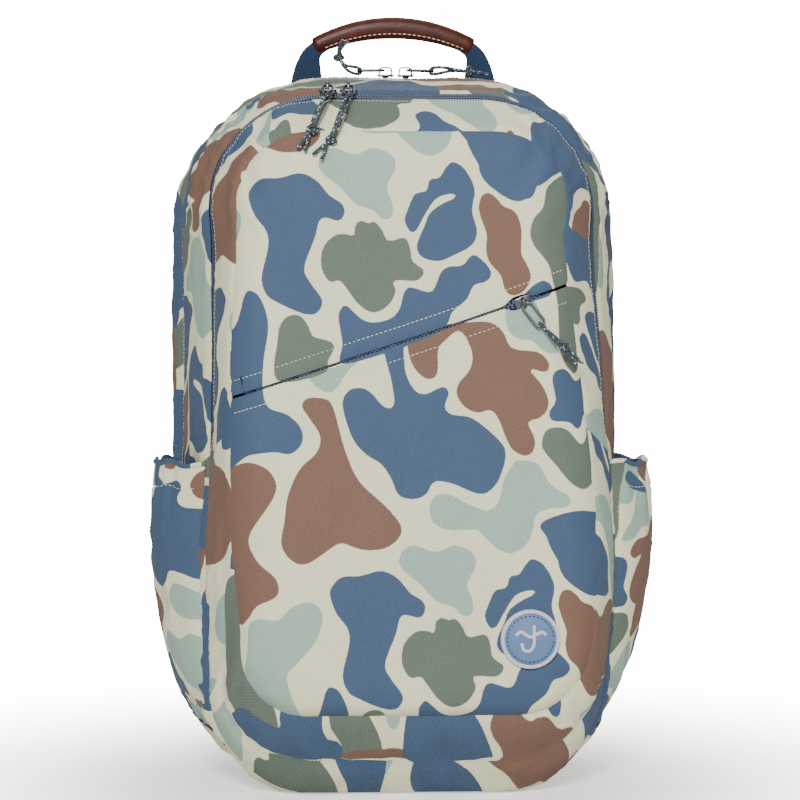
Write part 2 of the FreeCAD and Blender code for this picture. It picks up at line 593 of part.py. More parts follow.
def make_lock(label, sign):
    """A ladder lock: a plate with two slots for the webbing."""
    body = doc.addObject("PartDesign::Body", label.title())
    plane = next(f for f in body.Origin.OriginFeatures if f.Role == "XY_Plane")
    def rectangle(name, wide, tall, rise):
        sketch = body.newObject("Sketcher::SketchObject", name)
        sketch.AttachmentSupport, sketch.MapMode = [(plane, "")], "FlatFace"
        x, y, z = size(wide) / 2, size(tall) / 2, size(rise)
        corners = [Vector(-x, z - y, 0), Vector(x, z - y, 0), Vector(x, z + y, 0), Vector(-x, z + y, 0)]
        for k in range(4):
            sketch.addGeometry(Part.LineSegment(corners[k], corners[(k + 1) % 4]), False)
        for k in range(4):
            sketch.addConstraint(Constraint("Coincident", k, 2, (k + 1) % 4, 1))
            sketch.addConstraint(Constraint("Horizontal" if k % 2 == 0 else "Vertical", k))
        index = sketch.addConstraint(Constraint("DistanceX", 0, 1, 0, 2, 2 * x))
        sketch.renameConstraint(index, "wide")
        sketch.setExpression("Constraints.wide", cell(wide))
        index = sketch.addConstraint(Constraint("DistanceY", 1, 1, 1, 2, 2 * y))
        sketch.renameConstraint(index, "tall")
        sketch.setExpression("Constraints.tall", cell(tall))
        return sketch

    pad = body.newObject("PartDesign::Pad", label + "_pad")
    pad.Profile = rectangle(label + "_plate", "lock_wide", "lock_tall", "0")
    pad.setExpression("Length", cell("lock_thick"))
    doc.recompute()
    slot_tall = "( lock_tall - 3 * lock_bar ) / 2"
    for k, rise in enumerate((f"( {slot_tall} + lock_bar ) / 2", f"-1 * ( {slot_tall} + lock_bar ) / 2")):
        slot = body.newObject("PartDesign::Pocket", f"{label}_slot{k}")
        slot.Profile = rectangle(f"{label}_slot{k}_outline", "lock_wide - 2 * lock_bar", slot_tall, rise)
        slot.Type, slot.Reversed = "ThroughAll", True
        doc.recompute()
    corners = []
    for k, edge in enumerate(body.Shape.Edges, start=1):
        upright = abs(edge.tangentAt(edge.FirstParameter).z) > 0.99
        outer = abs(edge.Vertexes[0].Point.x) > size("lock_wide") / 2 - 0.1
        if upright and outer:
            corners.append(f"Edge{k}")
    last_cut = body.Tip
    fillet = body.newObject("PartDesign::Fillet", label + "_corners")
    fillet.Base, fillet.Radius = (last_cut, corners), 4
    place = Vector(sign * size("lock_x"), size("lock_y"), size("lock_z"))
    placed(body, place, Rotation(Vector(1, 0, 0), 90))
    sub_part(label, body)


def make_straps():
    bow = Vector(0, size("strap_bow_y"), size("strap_bow_z"))
    for side, sign in (("left", -1), ("right", 1)):
        lean = Vector(sign * size("strap_lean_x"), 0, size("strap_lean_z"))
        side_band = hoop(f"StrapBow{side}", "strap_bow", "strap_thick", False, bow)
        front_band = hoop(f"StrapLean{side}", "strap_lean", "strap_wide", True, lean)
        reach = ("0", "160") if sign > 0 else ("-160", "0")
        slab = block(f"StrapSlab{side}", *reach, "60", "160", "strap_low", "strap_high")
        sub_part(f"shoulder_strap_{side}", common(f"Strap{side}", side_band, front_band, slab))
        make_lock(f"ladder_lock_{side}", sign)
        x = sign * size("lock_x")
        root = Vector(0, size("back_y + cloth + 5.5"), 40)
        bend = Vector(0, size("lock_y - lock_thick / 2"), size("lock_z - 5"))
        lower_route = [root, bend - Vector(0, 4.2, 11.5)]
        lower = ribbon(f"Webbing{side}", lower_route, "webbing_thick", "webbing_wide", x)
        tail = [Vector(0, 103, 92), Vector(0, 104.5, 70), Vector(0, 103.5, 24)]
        loose = ribbon(f"Tail{side}", tail, "webbing_thick", "webbing_wide", x)
        sub_part(f"adjuster_webbing_{side}", fuse(f"Adjuster{side}", lower, loose))
        outline = ((130, 44), (128, 74), (88, 58), (88, 34))
        corners = [Vector(sign * wing_x, 0, wing_z) for wing_x, wing_z in outline]
        wing = doc.addObject("Part::Feature", f"Wing{side}")
        face = Part.Face(Part.makePolygon(corners + [corners[0]]))
        wing.Shape = face.extrude(Vector(0, 2.6, 0))
        placed(wing, Vector(0, size("back_y + cloth + 0.3"), -14))
        sub_part(f"strap_wing_{side}", wing)


# ---------------------------------------------------------------- carry handle


def make_handle():
    centre = Vector(0, size("handle_y"), size("grip_top - grip_bow"))
    arcs = []
    for name, radius, angle in (
        ("GripOut", "grip_half", "grip_angle"), ("GripIn", "grip_core + 0.1", "grip_angle"),
        ("Core", "grip_core", "grip_angle + 5.6"),
    ):
        arc = doc.addObject("Part::Torus", name)
        bind(arc, Radius1="grip_bow", Radius2=radius, Angle3=angle)
        upright = Rotation(Vector(1, 0, 0), 90) * Rotation(Vector(0, 0, 1), 90 - size(angle) / 2)
        arcs.append(placed(arc, centre, upright))
    sub_part("handle_grip", cut("Grip", arcs[0], arcs[1]))
    legs = [arcs[2]]
    for sign in (-1, 1):
        middle = f"{sign} * leg_x"
        legs.append(block(f"Leg{sign + 1}", f"{middle} - leg_wide / 2", f"{middle} + leg_wide / 2",
                          "handle_y - leg_thick / 2", "handle_y + leg_thick / 2", "leg_foot", "leg_head"))
    trimmed = fuse("HandleWebbing", *legs)
    sub_part("handle_webbing", trimmed)


closed_walls = make_shell()
make_zip_chains()
make_face(*closed_walls)
make_badge()
make_pulls()
make_side_pockets()
make_inside()
make_back()
make_straps()
make_handle()
doc.recompute()

for obj in doc.Objects:
    if "Invalid" in obj.State or "Error" in obj.State:
        raise SystemExit(f"{obj.Name} ({obj.Label}) failed: {obj.State}")
os.makedirs("parts", exist_ok=True)
for obj in SUB_PARTS:
    if obj.Shape.isNull() or not obj.Shape.isValid() or not obj.Shape.Solids:
        raise SystemExit(f"{obj.Label} has no valid solid")
    obj.Shape.exportStep(f"parts/{obj.Label}.step")
print(len(SUB_PARTS), "sub-parts written")
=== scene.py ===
"""Looks of the tackle backpack: cloth, zips, pulls, pockets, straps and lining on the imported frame.

Lengths are in millimetres, in the part's frame, until a mesh is made (UNIT turns them to metres).
"""

import math

import bpy
import numpy as np
from mathutils import Matrix, Vector


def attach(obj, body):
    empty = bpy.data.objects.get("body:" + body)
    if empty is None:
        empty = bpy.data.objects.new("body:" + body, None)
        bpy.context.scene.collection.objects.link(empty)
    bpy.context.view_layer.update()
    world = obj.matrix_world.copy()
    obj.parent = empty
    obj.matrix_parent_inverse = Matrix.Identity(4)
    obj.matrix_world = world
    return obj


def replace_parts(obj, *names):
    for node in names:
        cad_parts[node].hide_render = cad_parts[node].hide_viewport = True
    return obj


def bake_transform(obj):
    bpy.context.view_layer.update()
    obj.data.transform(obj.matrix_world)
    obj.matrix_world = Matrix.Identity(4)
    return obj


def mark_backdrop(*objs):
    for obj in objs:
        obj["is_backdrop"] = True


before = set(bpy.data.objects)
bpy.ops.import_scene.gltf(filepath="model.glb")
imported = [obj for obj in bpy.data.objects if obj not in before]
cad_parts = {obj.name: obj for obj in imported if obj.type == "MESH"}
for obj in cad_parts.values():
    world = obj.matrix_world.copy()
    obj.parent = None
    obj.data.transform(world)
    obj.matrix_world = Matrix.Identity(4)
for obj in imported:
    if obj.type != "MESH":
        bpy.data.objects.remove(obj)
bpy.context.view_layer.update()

UNIT = 0.001

# ---------------------------------------------------------------- camera, backdrop and light

camera_data = bpy.data.cameras.new("camera")
camera_data.lens, camera_data.sensor_width = 122, 36
camera = bpy.data.objects.new("camera", camera_data)
bpy.context.scene.collection.objects.link(camera)
bpy.context.scene.camera = camera
AIM = Vector((0.0013, 0, 0.247))
azimuth, elevation, distance = math.radians(-2.7), math.radians(2.0), 1.745
away = Vector((math.sin(azimuth) * math.cos(elevation), -math.cos(azimuth) * math.cos(elevation),
               math.sin(elevation)))
camera.location = AIM + away * distance
camera.rotation_euler = (-away).to_track_quat("-Z", "Y").to_euler()
camera_data.clip_start, camera_data.clip_end = 0.05, 30


def linear(hex_code):
    """Scene-linear RGB of an sRGB colour written as six hex digits."""
    channels = [int(hex_code[k:k + 2], 16) / 255 for k in (0, 2, 4)]
    return tuple(c / 12.92 if c <= 0.04045 else ((c + 0.055) / 1.055) ** 2.4 for c in channels)


def add_light(name, place, energy, spread, colour="FFFFFF"):
    data = bpy.data.lights.new(name, "AREA")
    data.energy, data.shape, data.size, data.color = energy, "SQUARE", spread, linear(colour)
    lamp = bpy.data.objects.new(name, data)
    bpy.context.scene.collection.objects.link(lamp)
    lamp.location = place
    lamp.rotation_euler = (AIM - Vector(place)).to_track_quat("-Z", "Y").to_euler()
    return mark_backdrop(lamp)


add_light("key", (-0.35, -2.6, 1.5), 94, 0.6)
add_light("fill", (1.8, -1.9, 0.6), 10, 1.4)
add_light("top", (0.1, 0.1, 2.3), 16, 1.2)
add_light("rear", (0.3, 2.4, 1.3), 26, 1.6)
world = bpy.data.worlds.new("studio")
bpy.context.scene.world = world
world.use_nodes = True
sky = world.node_tree
# The camera sees a white backdrop; the light it gives is softer.
seen = sky.nodes.new("ShaderNodeLightPath")
share = sky.nodes.new("ShaderNodeMapRange")
share.inputs["To Min"].default_value, share.inputs["To Max"].default_value = 0.24, 24.0
sky.links.new(seen.outputs["Is Camera Ray"], share.inputs["Value"])
sky.links.new(share.outputs[0], sky.nodes["Background"].inputs["Strength"])
sky.nodes["Background"].inputs["Color"].default_value = (*linear("FBFBFA"), 1)

# ---------------------------------------------------------------- materials


class Shader:
    """A material whose node tree is written with small helper calls."""

    def __init__(self, name, roughness=0.8, metallic=0.0, **sockets):
        self.material = bpy.data.materials.new(name)
        self.material.use_nodes = True
        self.tree = self.material.node_tree
        self.shader = self.tree.nodes["Principled BSDF"]
        self.shader.inputs["Roughness"].default_value = roughness
        self.shader.inputs["Metallic"].default_value = metallic
        for socket, value in sockets.items():
            self.shader.inputs[socket.replace("_", " ")].default_value = value

    def node(self, kind, _out=0, **values):
        made = self.tree.nodes.new(kind)
        for key, value in values.items():
            if hasattr(made, key):
                setattr(made, key, value)
            else:
                self.feed(made.inputs[key.replace("_", " ")], value)
        return made.outputs[_out]

    def feed(self, socket, value):
        if isinstance(value, bpy.types.NodeSocket):
            self.tree.links.new(value, socket)
        else:
            socket.default_value = value

    def maths(self, operation, *values):
        made = self.tree.nodes.new("ShaderNodeMath")
        made.operation = operation
        for socket, value in zip(made.inputs, values):
            self.feed(socket, value)
        return made.outputs[0]

    def attribute(self, name, output="Fac"):
        made = self.tree.nodes.new("ShaderNodeAttribute")
        made.attribute_name = name
        return made.outputs[output]

    def mix(self, share, low, high):
        """Colour between low and high; each is six hex digits or a socket."""
        made = self.tree.nodes.new("ShaderNodeMix")
        made.data_type = "RGBA"
        self.feed(made.inputs[0], share)
        for socket, value in ((made.inputs[6], low), (made.inputs[7], high)):
            self.feed(socket, (*linear(value), 1) if isinstance(value, str) else value)
        return made.outputs[2]

    def step(self, value, low, high):
        made = self.tree.nodes.new("ShaderNodeMapRange")
        made.interpolation_type = "SMOOTHSTEP"
        self.feed(made.inputs["Value"], value)
        made.inputs["From Min"].default_value, made.inputs["From Max"].default_value = low, high
        return made.outputs[0]

    def noise(self, scale, detail=3.0, place=None):
        """Noise over the object's own coordinates, in metres, or over place."""
        spot = place or self.node("ShaderNodeTexCoord", _out=3)
        return self.node("ShaderNodeTexNoise", Vector=spot, Scale=scale, Detail=detail)

    def scaled(self, colour, low, high, share):
        """The colour made darker or lighter with share."""
        factor = self.maths("ADD", self.maths("MULTIPLY", share, high - low), low)
        made = self.tree.nodes.new("ShaderNodeHueSaturation")
        self.feed(made.inputs["Value"], factor)
        self.feed(made.inputs["Color"], colour if not isinstance(colour, str) else (*linear(colour), 1))
        return made.outputs[0]

    def weave(self, pitch, twill=0.0):
        """Height of a weave, 0 to 1, from the mesh's cloth coordinate in millimetres."""
        parts = self.node("ShaderNodeSeparateXYZ", Vector=self.attribute("cloth", "Vector"))
        across, along = parts, parts.node.outputs[1]
        turn = 2 * math.pi / pitch
        first = self.maths("SINE", self.maths("MULTIPLY", self.maths("ADD", across,
                           self.maths("MULTIPLY", along, twill)), turn))
        second = self.maths("SINE", self.maths("MULTIPLY", self.maths("SUBTRACT", along,
                            self.maths("MULTIPLY", across, twill)), turn))
        product = self.maths("MULTIPLY", first, second)
        return self.maths("ADD", self.maths("MULTIPLY", product, 0.5), 0.5)

    def finish(self, colour, height=None, distance=0.0003, strength=0.6):
        tone = (*linear(colour), 1) if isinstance(colour, str) else colour
        self.feed(self.shader.inputs["Base Color"], tone)
        if height is not None:
            bump = self.tree.nodes.new("ShaderNodeBump")
            bump.inputs["Strength"].default_value = strength
            bump.inputs["Distance"].default_value = distance
            self.feed(bump.inputs["Height"], height)
            self.tree.links.new(bump.outputs[0], self.shader.inputs["Normal"])
        return self.material


CAMO = {"aqua": "97B3A3", "olive": "5F6B5F", "brown": "75584A", "blue": "40546F"}
CREAM = "E6E5BE"
NAVY = "1F2D47"


def camo_cloth(name, pitch, twill, depth):
    """Coated polyester canvas printed with a four-colour camouflage, from the mesh's motif distances."""
    s = Shader(name, roughness=0.68, Sheen_Weight=0.04, Specular_IOR_Level=0.25)
    colour = CREAM
    ragged = s.maths("MULTIPLY", s.maths("SUBTRACT", s.noise(420), 0.5), 0.5)
    for key, code in CAMO.items():
        edge = s.maths("ADD", s.attribute("camo_" + key), ragged)
        colour = s.mix(s.step(edge, -0.35, 0.35), colour, code)
    weave = s.weave(pitch, twill)
    colour = s.scaled(colour, 0.74, 1.12, weave)
    colour = s.scaled(colour, 0.93, 1.06, s.noise(38, 4.0))
    return s.finish(colour, weave, 0.0001 * depth, 0.8)


def plain_cloth(name, code, pitch=0.9, twill=0.0, depth=1.0, roughness=0.8, low=0.8):
    s = Shader(name, roughness=roughness, Sheen_Weight=0.08, Specular_IOR_Level=0.3)
    weave = s.weave(pitch, twill)
    colour = s.scaled(code, low, 1.1, weave)
    colour = s.scaled(colour, 0.93, 1.06, s.noise(60, 4.0))
    return s.finish(colour, weave, 0.0001 * depth, 0.6)


def grainy(name, code, scale, roughness, depth, metallic=0.0, low=0.88, **sockets):
    """A surface with a fine random grain: rubber, leather, moulded plastic or metal."""
    s = Shader(name, roughness=roughness, metallic=metallic, **sockets)
    grain = s.noise(scale, 5.0)
    colour = s.scaled(code, low, 1.08, grain)
    s.feed(s.shader.inputs["Roughness"], s.maths("ADD", s.maths("MULTIPLY", grain, 0.16), roughness - 0.08))
    return s.finish(colour, grain, depth, 0.5)


def leather():
    s = Shader("handle_leather", roughness=0.4, Specular_IOR_Level=0.2, Coat_Weight=0.05, Coat_Roughness=0.25)
    cells = s.node("ShaderNodeTexVoronoi", Vector=s.node("ShaderNodeTexCoord", _out=3), Scale=900.0)
    streaks = s.noise(130, 6.0)
    colour = s.mix(streaks, "1C0603", "5A1F0A")
    colour = s.scaled(colour, 0.8, 1.15, s.noise(24, 2.0))
    return s.finish(colour, s.maths("ADD", cells, s.maths("MULTIPLY", streaks, 1.2)), 0.00025, 0.5)


def cord_material():
    """Braided cord: a dark grey-green sheath with pale flecks."""
    s = Shader("braided_cord", roughness=0.85)
    place = s.node("ShaderNodeTexCoord", _out=3)
    braid = s.node("ShaderNodeTexVoronoi", Vector=place, Scale=1150.0)
    flecks = s.node("ShaderNodeTexVoronoi", Vector=place, Scale=520.0, _out=0)
    colour = s.scaled("34424A", 0.5, 1.25, braid)
    colour = s.mix(s.step(flecks, 0.34, 0.22), colour, "C9CFC9")
    return s.finish(colour, braid, 0.0005, 0.8)


def mesh_cloth():
    """Spacer mesh: small round holes in rows, darker inside."""
    s = Shader("spacer_mesh", roughness=0.9)
    parts = s.node("ShaderNodeSeparateXYZ", Vector=s.attribute("cloth", "Vector"))
    turn = 2 * math.pi / 3.2
    rows = [s.maths("COSINE", s.maths("MULTIPLY", out, turn)) for out in (parts, parts.node.outputs[1])]
    holes = s.maths("ADD", *rows)
    colour = s.mix(s.step(holes, 0.2, 1.1), "3A4350", "15181D")
    return s.finish(colour, s.maths("MULTIPLY", s.step(holes, -0.2, 1.2), -1.0), 0.0006, 0.8)


MATERIALS = {
    "face_camo": camo_cloth("face_camo", 2.1, 0.0, 2.6),
    "gusset_camo": camo_cloth("gusset_camo", 1.9, 0.4, 2.6),
    "lining": plain_cloth("lining_ripstop", "5D6C7F", 1.4, depth=1.0, roughness=0.7),
    "tape": plain_cloth("zip_tape", NAVY, 0.8, twill=0.6, depth=1.5),
    "binding": plain_cloth("binding_tape", "2C3950", 1.0, twill=0.5, depth=2.0),
    "webbing": plain_cloth("webbing_weave", "1F3350", 1.7, twill=1.0, depth=4.5, low=0.66),
    "black_webbing": plain_cloth("black_webbing_weave", "23262B", 1.7, twill=1.0, depth=4.5, low=0.6),
    "teeth": grainy("coil_teeth", "46556E", 900, 0.4, 0.0001),
    "elastic": plain_cloth("hem_elastic", "566F92", 2.2, twill=0.3, depth=5.0, low=0.7),
    "thread": plain_cloth("thread", "DCD9C6", 0.6, twill=0.8, depth=1.0),
    "navy_thread": plain_cloth("navy_thread", "2E3F63", 0.6, twill=0.8, depth=1.0),
    "metal": grainy("gunmetal", "5A5C60", 700, 0.32, 0.00012, metallic=1.0),
    "leather": leather(),
    "cord": cord_material(),
    "mesh": mesh_cloth(),
    "ring_rubber": grainy("badge_rim_rubber", "C3C0CB", 500, 0.5, 0.00015),
    "disc_rubber": grainy("badge_disc_rubber", "56739B", 500, 0.55, 0.00015),
    "board": grainy("board_plastic", "2A2D31", 400, 0.6, 0.0003),
    "hardware": grainy("acetal_hardware", "202227", 600, 0.45, 0.00015),
}

# ---------------------------------------------------------------- meshes from grids of points


def new_mesh(name, points, faces, materials, body=None, face_material=None, attributes=None, smooth=True):
    """An object from points in millimetres. attributes: name to an array with a value or vector per point."""
    mesh = bpy.data.meshes.new(name)
    mesh.from_pydata((np.asarray(points, float) * UNIT).tolist(), [], faces)
    for key in materials:
        mesh.materials.append(MATERIALS[key])
    if face_material is not None:
        mesh.polygons.foreach_set("material_index", np.asarray(face_material, np.int32))
    if smooth:
        mesh.polygons.foreach_set("use_smooth", [True] * len(mesh.polygons))
    for key, values in (attributes or {}).items():
        values = np.asarray(values, np.float32)
        kind = "FLOAT" if values.ndim == 1 else "FLOAT_VECTOR"
        layer = mesh.attributes.new(key, kind, "POINT")
        layer.data.foreach_set("value" if kind == "FLOAT" else "vector", values.ravel())
    mesh.update()
    obj = bpy.data.objects.new(name, mesh)
    bpy.context.scene.collection.objects.link(obj)
    if body:
        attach(obj, body)
    return obj


def grid_faces(rows, cols, closed=False, first=0, flip=False):
    """Quads of a grid whose rows join at their ends if closed."""
    r, c = np.meshgrid(np.arange(rows - 1), np.arange(cols if closed else cols - 1), indexing="ij")
    r, c = r.ravel(), c.ravel()
    onward = (c + 1) % cols
    square = [r * cols + c, r * cols + onward, (r + 1) * cols + onward, (r + 1) * cols + c]
    quads = np.stack(square, 1) + first
    return (quads[:, ::-1] if flip else quads).tolist()


def grid_normals(points, closed=False):
    """Unit normals of a grid of points; rows × columns follow the right-hand rule."""
    down = np.gradient(points, axis=0)
    if closed:
        along = (np.roll(points, -1, 1) - np.roll(points, 1, 1)) / 2
    else:
        along = np.gradient(points, axis=1)
    normal = np.cross(along, down)
    return normal / np.maximum(np.linalg.norm(normal, axis=2, keepdims=True), 1e-9)


CENTRE = np.array([0, 0, 230.0])


def outward_normals(points, closed=False, centre=CENTRE):
    """Unit normals of a grid, turned away from a centre, and whether the grid's own were turned round."""
    normal = grid_normals(points, closed)
    flip = (normal * (points - centre)).sum() < 0
    return (-normal if flip else normal), flip


def cloth(name, points, thick, outside, inside="lining", closed=False, fields=None, flat=None, centre=CENTRE):
    """A cloth layer: the grid is its outer face, a lining lies thick behind it, and its edges are closed."""
    rows, cols = points.shape[:2]
    normal, flip = outward_normals(points, closed, centre)
    back = points - normal * thick
    count = rows * cols
    faces = grid_faces(rows, cols, closed, 0, flip) + grid_faces(rows, cols, closed, count, not flip)
    front_count = len(faces) // 2
    lines = [list(range(cols)), [(rows - 1) * cols + k for k in range(cols)]]
    if closed:
        lines = [line + [line[0]] for line in lines]
    else:
        lines += [[r * cols for r in range(rows)], [r * cols + cols - 1 for r in range(rows)]]
    for k, line in enumerate(lines):
        for a, b in zip(line, line[1:]):
            quad = [a, b, b + count, a + count]
            faces.append(quad if (k in (1, 2)) != flip else quad[::-1])
    slots = [0] * front_count + [1] * front_count + [0] * (len(faces) - 2 * front_count)
    if flat is None:
        steps = np.linalg.norm(np.diff(points, axis=1, prepend=points[:, :1]), axis=2).cumsum(1)
        drops = np.linalg.norm(np.diff(points, axis=0, prepend=points[:1]), axis=2).cumsum(0)
        flat = np.stack([steps, drops, np.zeros_like(steps)], 2)
    values = {"cloth": np.tile(flat.reshape(-1, 3), (2, 1))}
    for key, layer in (fields or {}).items():
        values[key] = np.tile(layer.ravel(), 2)
    both = np.concatenate([points.reshape(-1, 3), back.reshape(-1, 3)])
    obj = new_mesh(name, both, faces, (outside, inside), None, slots, values)
    split = np.concatenate([normal.reshape(-1, 3), -normal.reshape(-1, 3)])
    obj.data.normals_split_custom_set_from_vertices(split.tolist())
    return obj


def smooth(value, low, high):
    t = np.clip((np.asarray(value, float) - low) / (high - low), 0, 1)
    return t * t * (3 - 2 * t)


def ripple(u, v, size, seed):
    """Smooth wrinkle height, about -1 to 1, over two lengths, from a few crossed waves."""
    u, v = np.asarray(u) / size, np.asarray(v) / size
    total = 0
    for k in range(5):
        turn = seed * 1.7 + k * 2.4
        total = total + np.sin(u * (2.1 + 0.9 * k) * np.cos(turn) + v * (2.1 + 0.9 * k) * np.sin(turn)
                               + 1.3 * np.sin(v * 1.1 + turn) + turn * 3) / (1 + 0.5 * k)
    return total / 2.6


# ---------------------------------------------------------------- camouflage motifs

# Outlines of the printed motifs (x, z) on the flat cloth, as knots of smooth curves. The print
# repeats by CAMO_STEP and CAMO_SIDE, and PRINT_SCALE and PRINT_SHIFT lay it on the face.
CAMO_STEP, CAMO_SIDE = (50, -243.5), (222, 14)
PRINT_SCALE, PRINT_SHIFT = 0.9877, 11.5
CAMO_MOTIFS = {
    "blue": (
        ((-108, 374), (-106, 380), (-100, 385), (-89, 385.5), (-76, 388.5), (-66, 384), (-58, 375),
         (-51, 370.5), (-48.5, 365), (-52, 359.5), (-63, 361), (-67, 349), (-73.5, 331), (-70, 322),
         (-62.5, 311), (-66, 303), (-75, 303), (-90, 309.5), (-97, 314.5), (-100, 325), (-96, 343),
         (-97, 353), (-104, 362.5)),
        ((-11.5, 360), (-9, 368), (-5, 376), (2, 378), (4, 384.5), (10, 386), (14, 392), (18.5, 395.5),
         (26, 391), (32, 379), (30.5, 366), (33.5, 353), (30, 344.5), (19, 338.5), (10, 335), (0, 337),
         (-4, 344), (1, 357), (4, 364), (11, 369.5), (20, 374), (17, 376), (8, 373), (1, 363), (-4, 354),
         (-8, 353)),
        ((24, 418), (27, 409), (34, 398.5), (35, 390), (40, 382), (52, 373.5), (60, 371.5), (63.5, 374.5),
         (64, 380.5), (72, 381), (80, 386.5), (90, 395), (80, 415), (50, 425)),
        ((-52.5, 301), (-50, 307), (-47, 307.5), (-38, 299.5), (-30, 297.5), (-20, 300), (-14.5, 306),
         (-12, 315.5), (-8, 319), (3, 316), (7, 318.5), (11, 328), (16, 331.5), (24.5, 332.5), (29, 337.5),
         (33, 338.5), (41, 331), (42, 325.5), (38, 322), (31.5, 320), (27, 311.5), (18, 303.5), (14, 295),
         (0, 287), (-48, 272), (-50, 285)),
        ((-111, 313), (-108, 317), (-102, 314), (-97, 303), (-96, 292), (-99, 272), (-99, 254), (-95, 245),
         (-84, 241), (-76, 233), (-75, 224), (-82, 217), (-93, 218), (-108, 216), (-125, 211), (-128, 280),
         (-117, 294), (-113, 305)),
        ((-50, 246), (-47, 255), (-40, 257.5), (-33, 255), (-25, 246.5), (-20, 245), (-18, 250), (-20, 263),
         (-24, 280), (-20, 290), (-13, 288), (-11, 268), (-6, 257), (1, 253.5), (12, 258), (16, 254),
         (13.5, 246), (18, 241), (31, 238.5), (47, 225.5), (51.5, 217), (49, 205), (44, 196), (35, 192),
         (18, 198.5), (7, 199.5), (2, 192), (-6, 189), (-15, 191.5), (-20, 202), (-26, 210.5), (-36, 217),
         (-44, 227)),
        ((80.5, 262), (82, 267), (87, 269), (91, 267), (96.5, 261), (103, 268), (108, 250), (101, 240),
         (99, 233), (96, 232), (91, 236), (81, 237), (78.5, 242), (82.5, 249), (81.5, 256)),
        ((77, 168), (79, 174), (86, 175), (100, 172), (116, 172), (120, 135), (108, 129), (97, 134),
         (88, 141), (84.5, 150), (79, 160)),
        ((58, 307), (64, 309), (79, 314), (80, 320), (74, 323), (66, 318)),
    ),
    "brown": (
        ((34.5, 368), (36.5, 375), (41, 376.5), (46, 373), (50, 368.5), (57, 365), (61, 355), (61, 340),
         (64.5, 333), (67, 325), (63, 317), (56, 314), (51, 317), (48, 326.5), (41, 334.5), (39, 343),
         (39.5, 351), (36, 361)),
        ((-75, 246), (-72, 251), (-62, 251), (-56.5, 247), (-52, 232), (-48, 218), (-39.5, 200),
         (-22, 183.5), (-13.5, 172), (-16, 164), (-25, 158.5), (-38, 158), (-51, 162), (-60, 157),
         (-72, 149.5), (-81, 151), (-88, 161), (-86, 176), (-84, 191), (-77, 207), (-66, 218), (-64, 228),
         (-70, 238)),
        ((-121, 203), (-115, 210), (-106, 211.5), (-96, 207), (-91, 198), (-94, 188), (-106, 170.5),
         (-108, 161), (-102, 150), (-92, 141), (-89.5, 133), (-93, 128), (-103, 123.5), (-109, 115),
         (-115, 113), (-122, 150)),
        ((-9.5, 295), (-9, 279), (-6, 270.5), (0, 264), (5, 262.8), (9, 267), (9.5, 281), (14, 286.5),
         (21, 292), (26, 289), (30.5, 278), (29, 268.5), (22, 260), (21, 253), (26, 245.5), (34, 242),
         (42, 243.5), (47, 238), (51, 228), (56, 219), (64, 215.5), (69, 219), (69.5, 226), (65.5, 236),
         (72, 238.5), (77, 243), (78, 250), (74, 259), (66, 269), (76, 267), (78.5, 272), (72, 279),
         (60, 280.5), (54, 283), (50, 291), (45, 296), (36, 298), (10, 296)),
    ),
    "olive": (
        ((-43, 350.5), (-42, 357), (-38.5, 359.5), (-33.5, 358), (-30, 359), (-25.5, 354), (-21.5, 347.5),
         (-11.5, 349), (-8, 343), (-6.5, 335), (0.5, 329), (-4, 323), (-18, 323), (-17, 316), (-22, 307.5),
         (-31, 303.5), (-40, 308.5), (-48, 319), (-52, 323), (-58, 322.5), (-63, 331), (-62, 343),
         (-55, 350.5), (-48, 351.5)),
        ((88, 388), (80, 383), (76.5, 378.5), (74.5, 368), (69, 361.5), (66.5, 353), (69, 344.5), (78, 333),
         (80.5, 324), (84, 308), (85, 285), (87, 276), (91, 269), (97, 268), (100, 300), (100, 350),
         (95, 385)),
        ((-90.5, 262), (-90, 288), (-88, 297), (-83, 301.5), (-76.5, 301.5), (-71.5, 296), (-68, 289),
         (-58, 286), (-55, 282), (-59, 274), (-62, 266)),
        ((74, 224), (76.5, 231), (84, 233), (91, 230.5), (98.5, 222.5), (102, 225), (104, 234), (112, 215),
         (107, 199), (100.5, 194.5), (92, 199), (83, 209.5), (75, 219)),
    ),
    "aqua": (
        ((-65, 394), (-62, 401.5), (-55, 404), (-42, 400), (-31, 404), (-20, 400), (-17, 392), (-22.5, 380),
         (-19, 370), (-19.5, 361.5), (-26, 361), (-31, 366), (-42, 370), (-52, 380.5), (-61, 387.5)),
        ((-16, 416), (-9, 406.5), (-2, 401), (5, 399.5), (12, 403), (17, 411), (18, 418), (0, 420)),
        ((52.5, 308), (52, 296), (55, 290), (61, 287), (68, 286), (75, 280), (84, 278.5), (82, 285),
         (75, 296), (68, 312)),
        ((55.5, 209), (58, 212.5), (68, 212), (73, 209), (80, 197.5), (91, 190.5), (90, 184), (77, 182.5),
         (70, 178), (67, 165), (61, 158), (53, 155.5), (46, 160), (38, 169.5), (17, 170), (7, 174),
         (4, 183), (8, 191), (17, 191.5), (30, 185), (40, 182), (47, 187), (50.5, 201)),
        ((-108, 112), (-101, 115.5), (-90, 115), (-82, 122.5), (-72, 126), (-65, 123), (-62.5, 115),
         (-67, 101.5), (-78, 88.5), (-84.5, 81), (-82, 68), (-77, 52), (-95, 45), (-110, 75), (-109, 97)),
        ((-71, 266), (-66, 258), (-58, 254.5), (-52, 259), (-48, 266), (-40, 275), (-55, 270)),
    ),
}


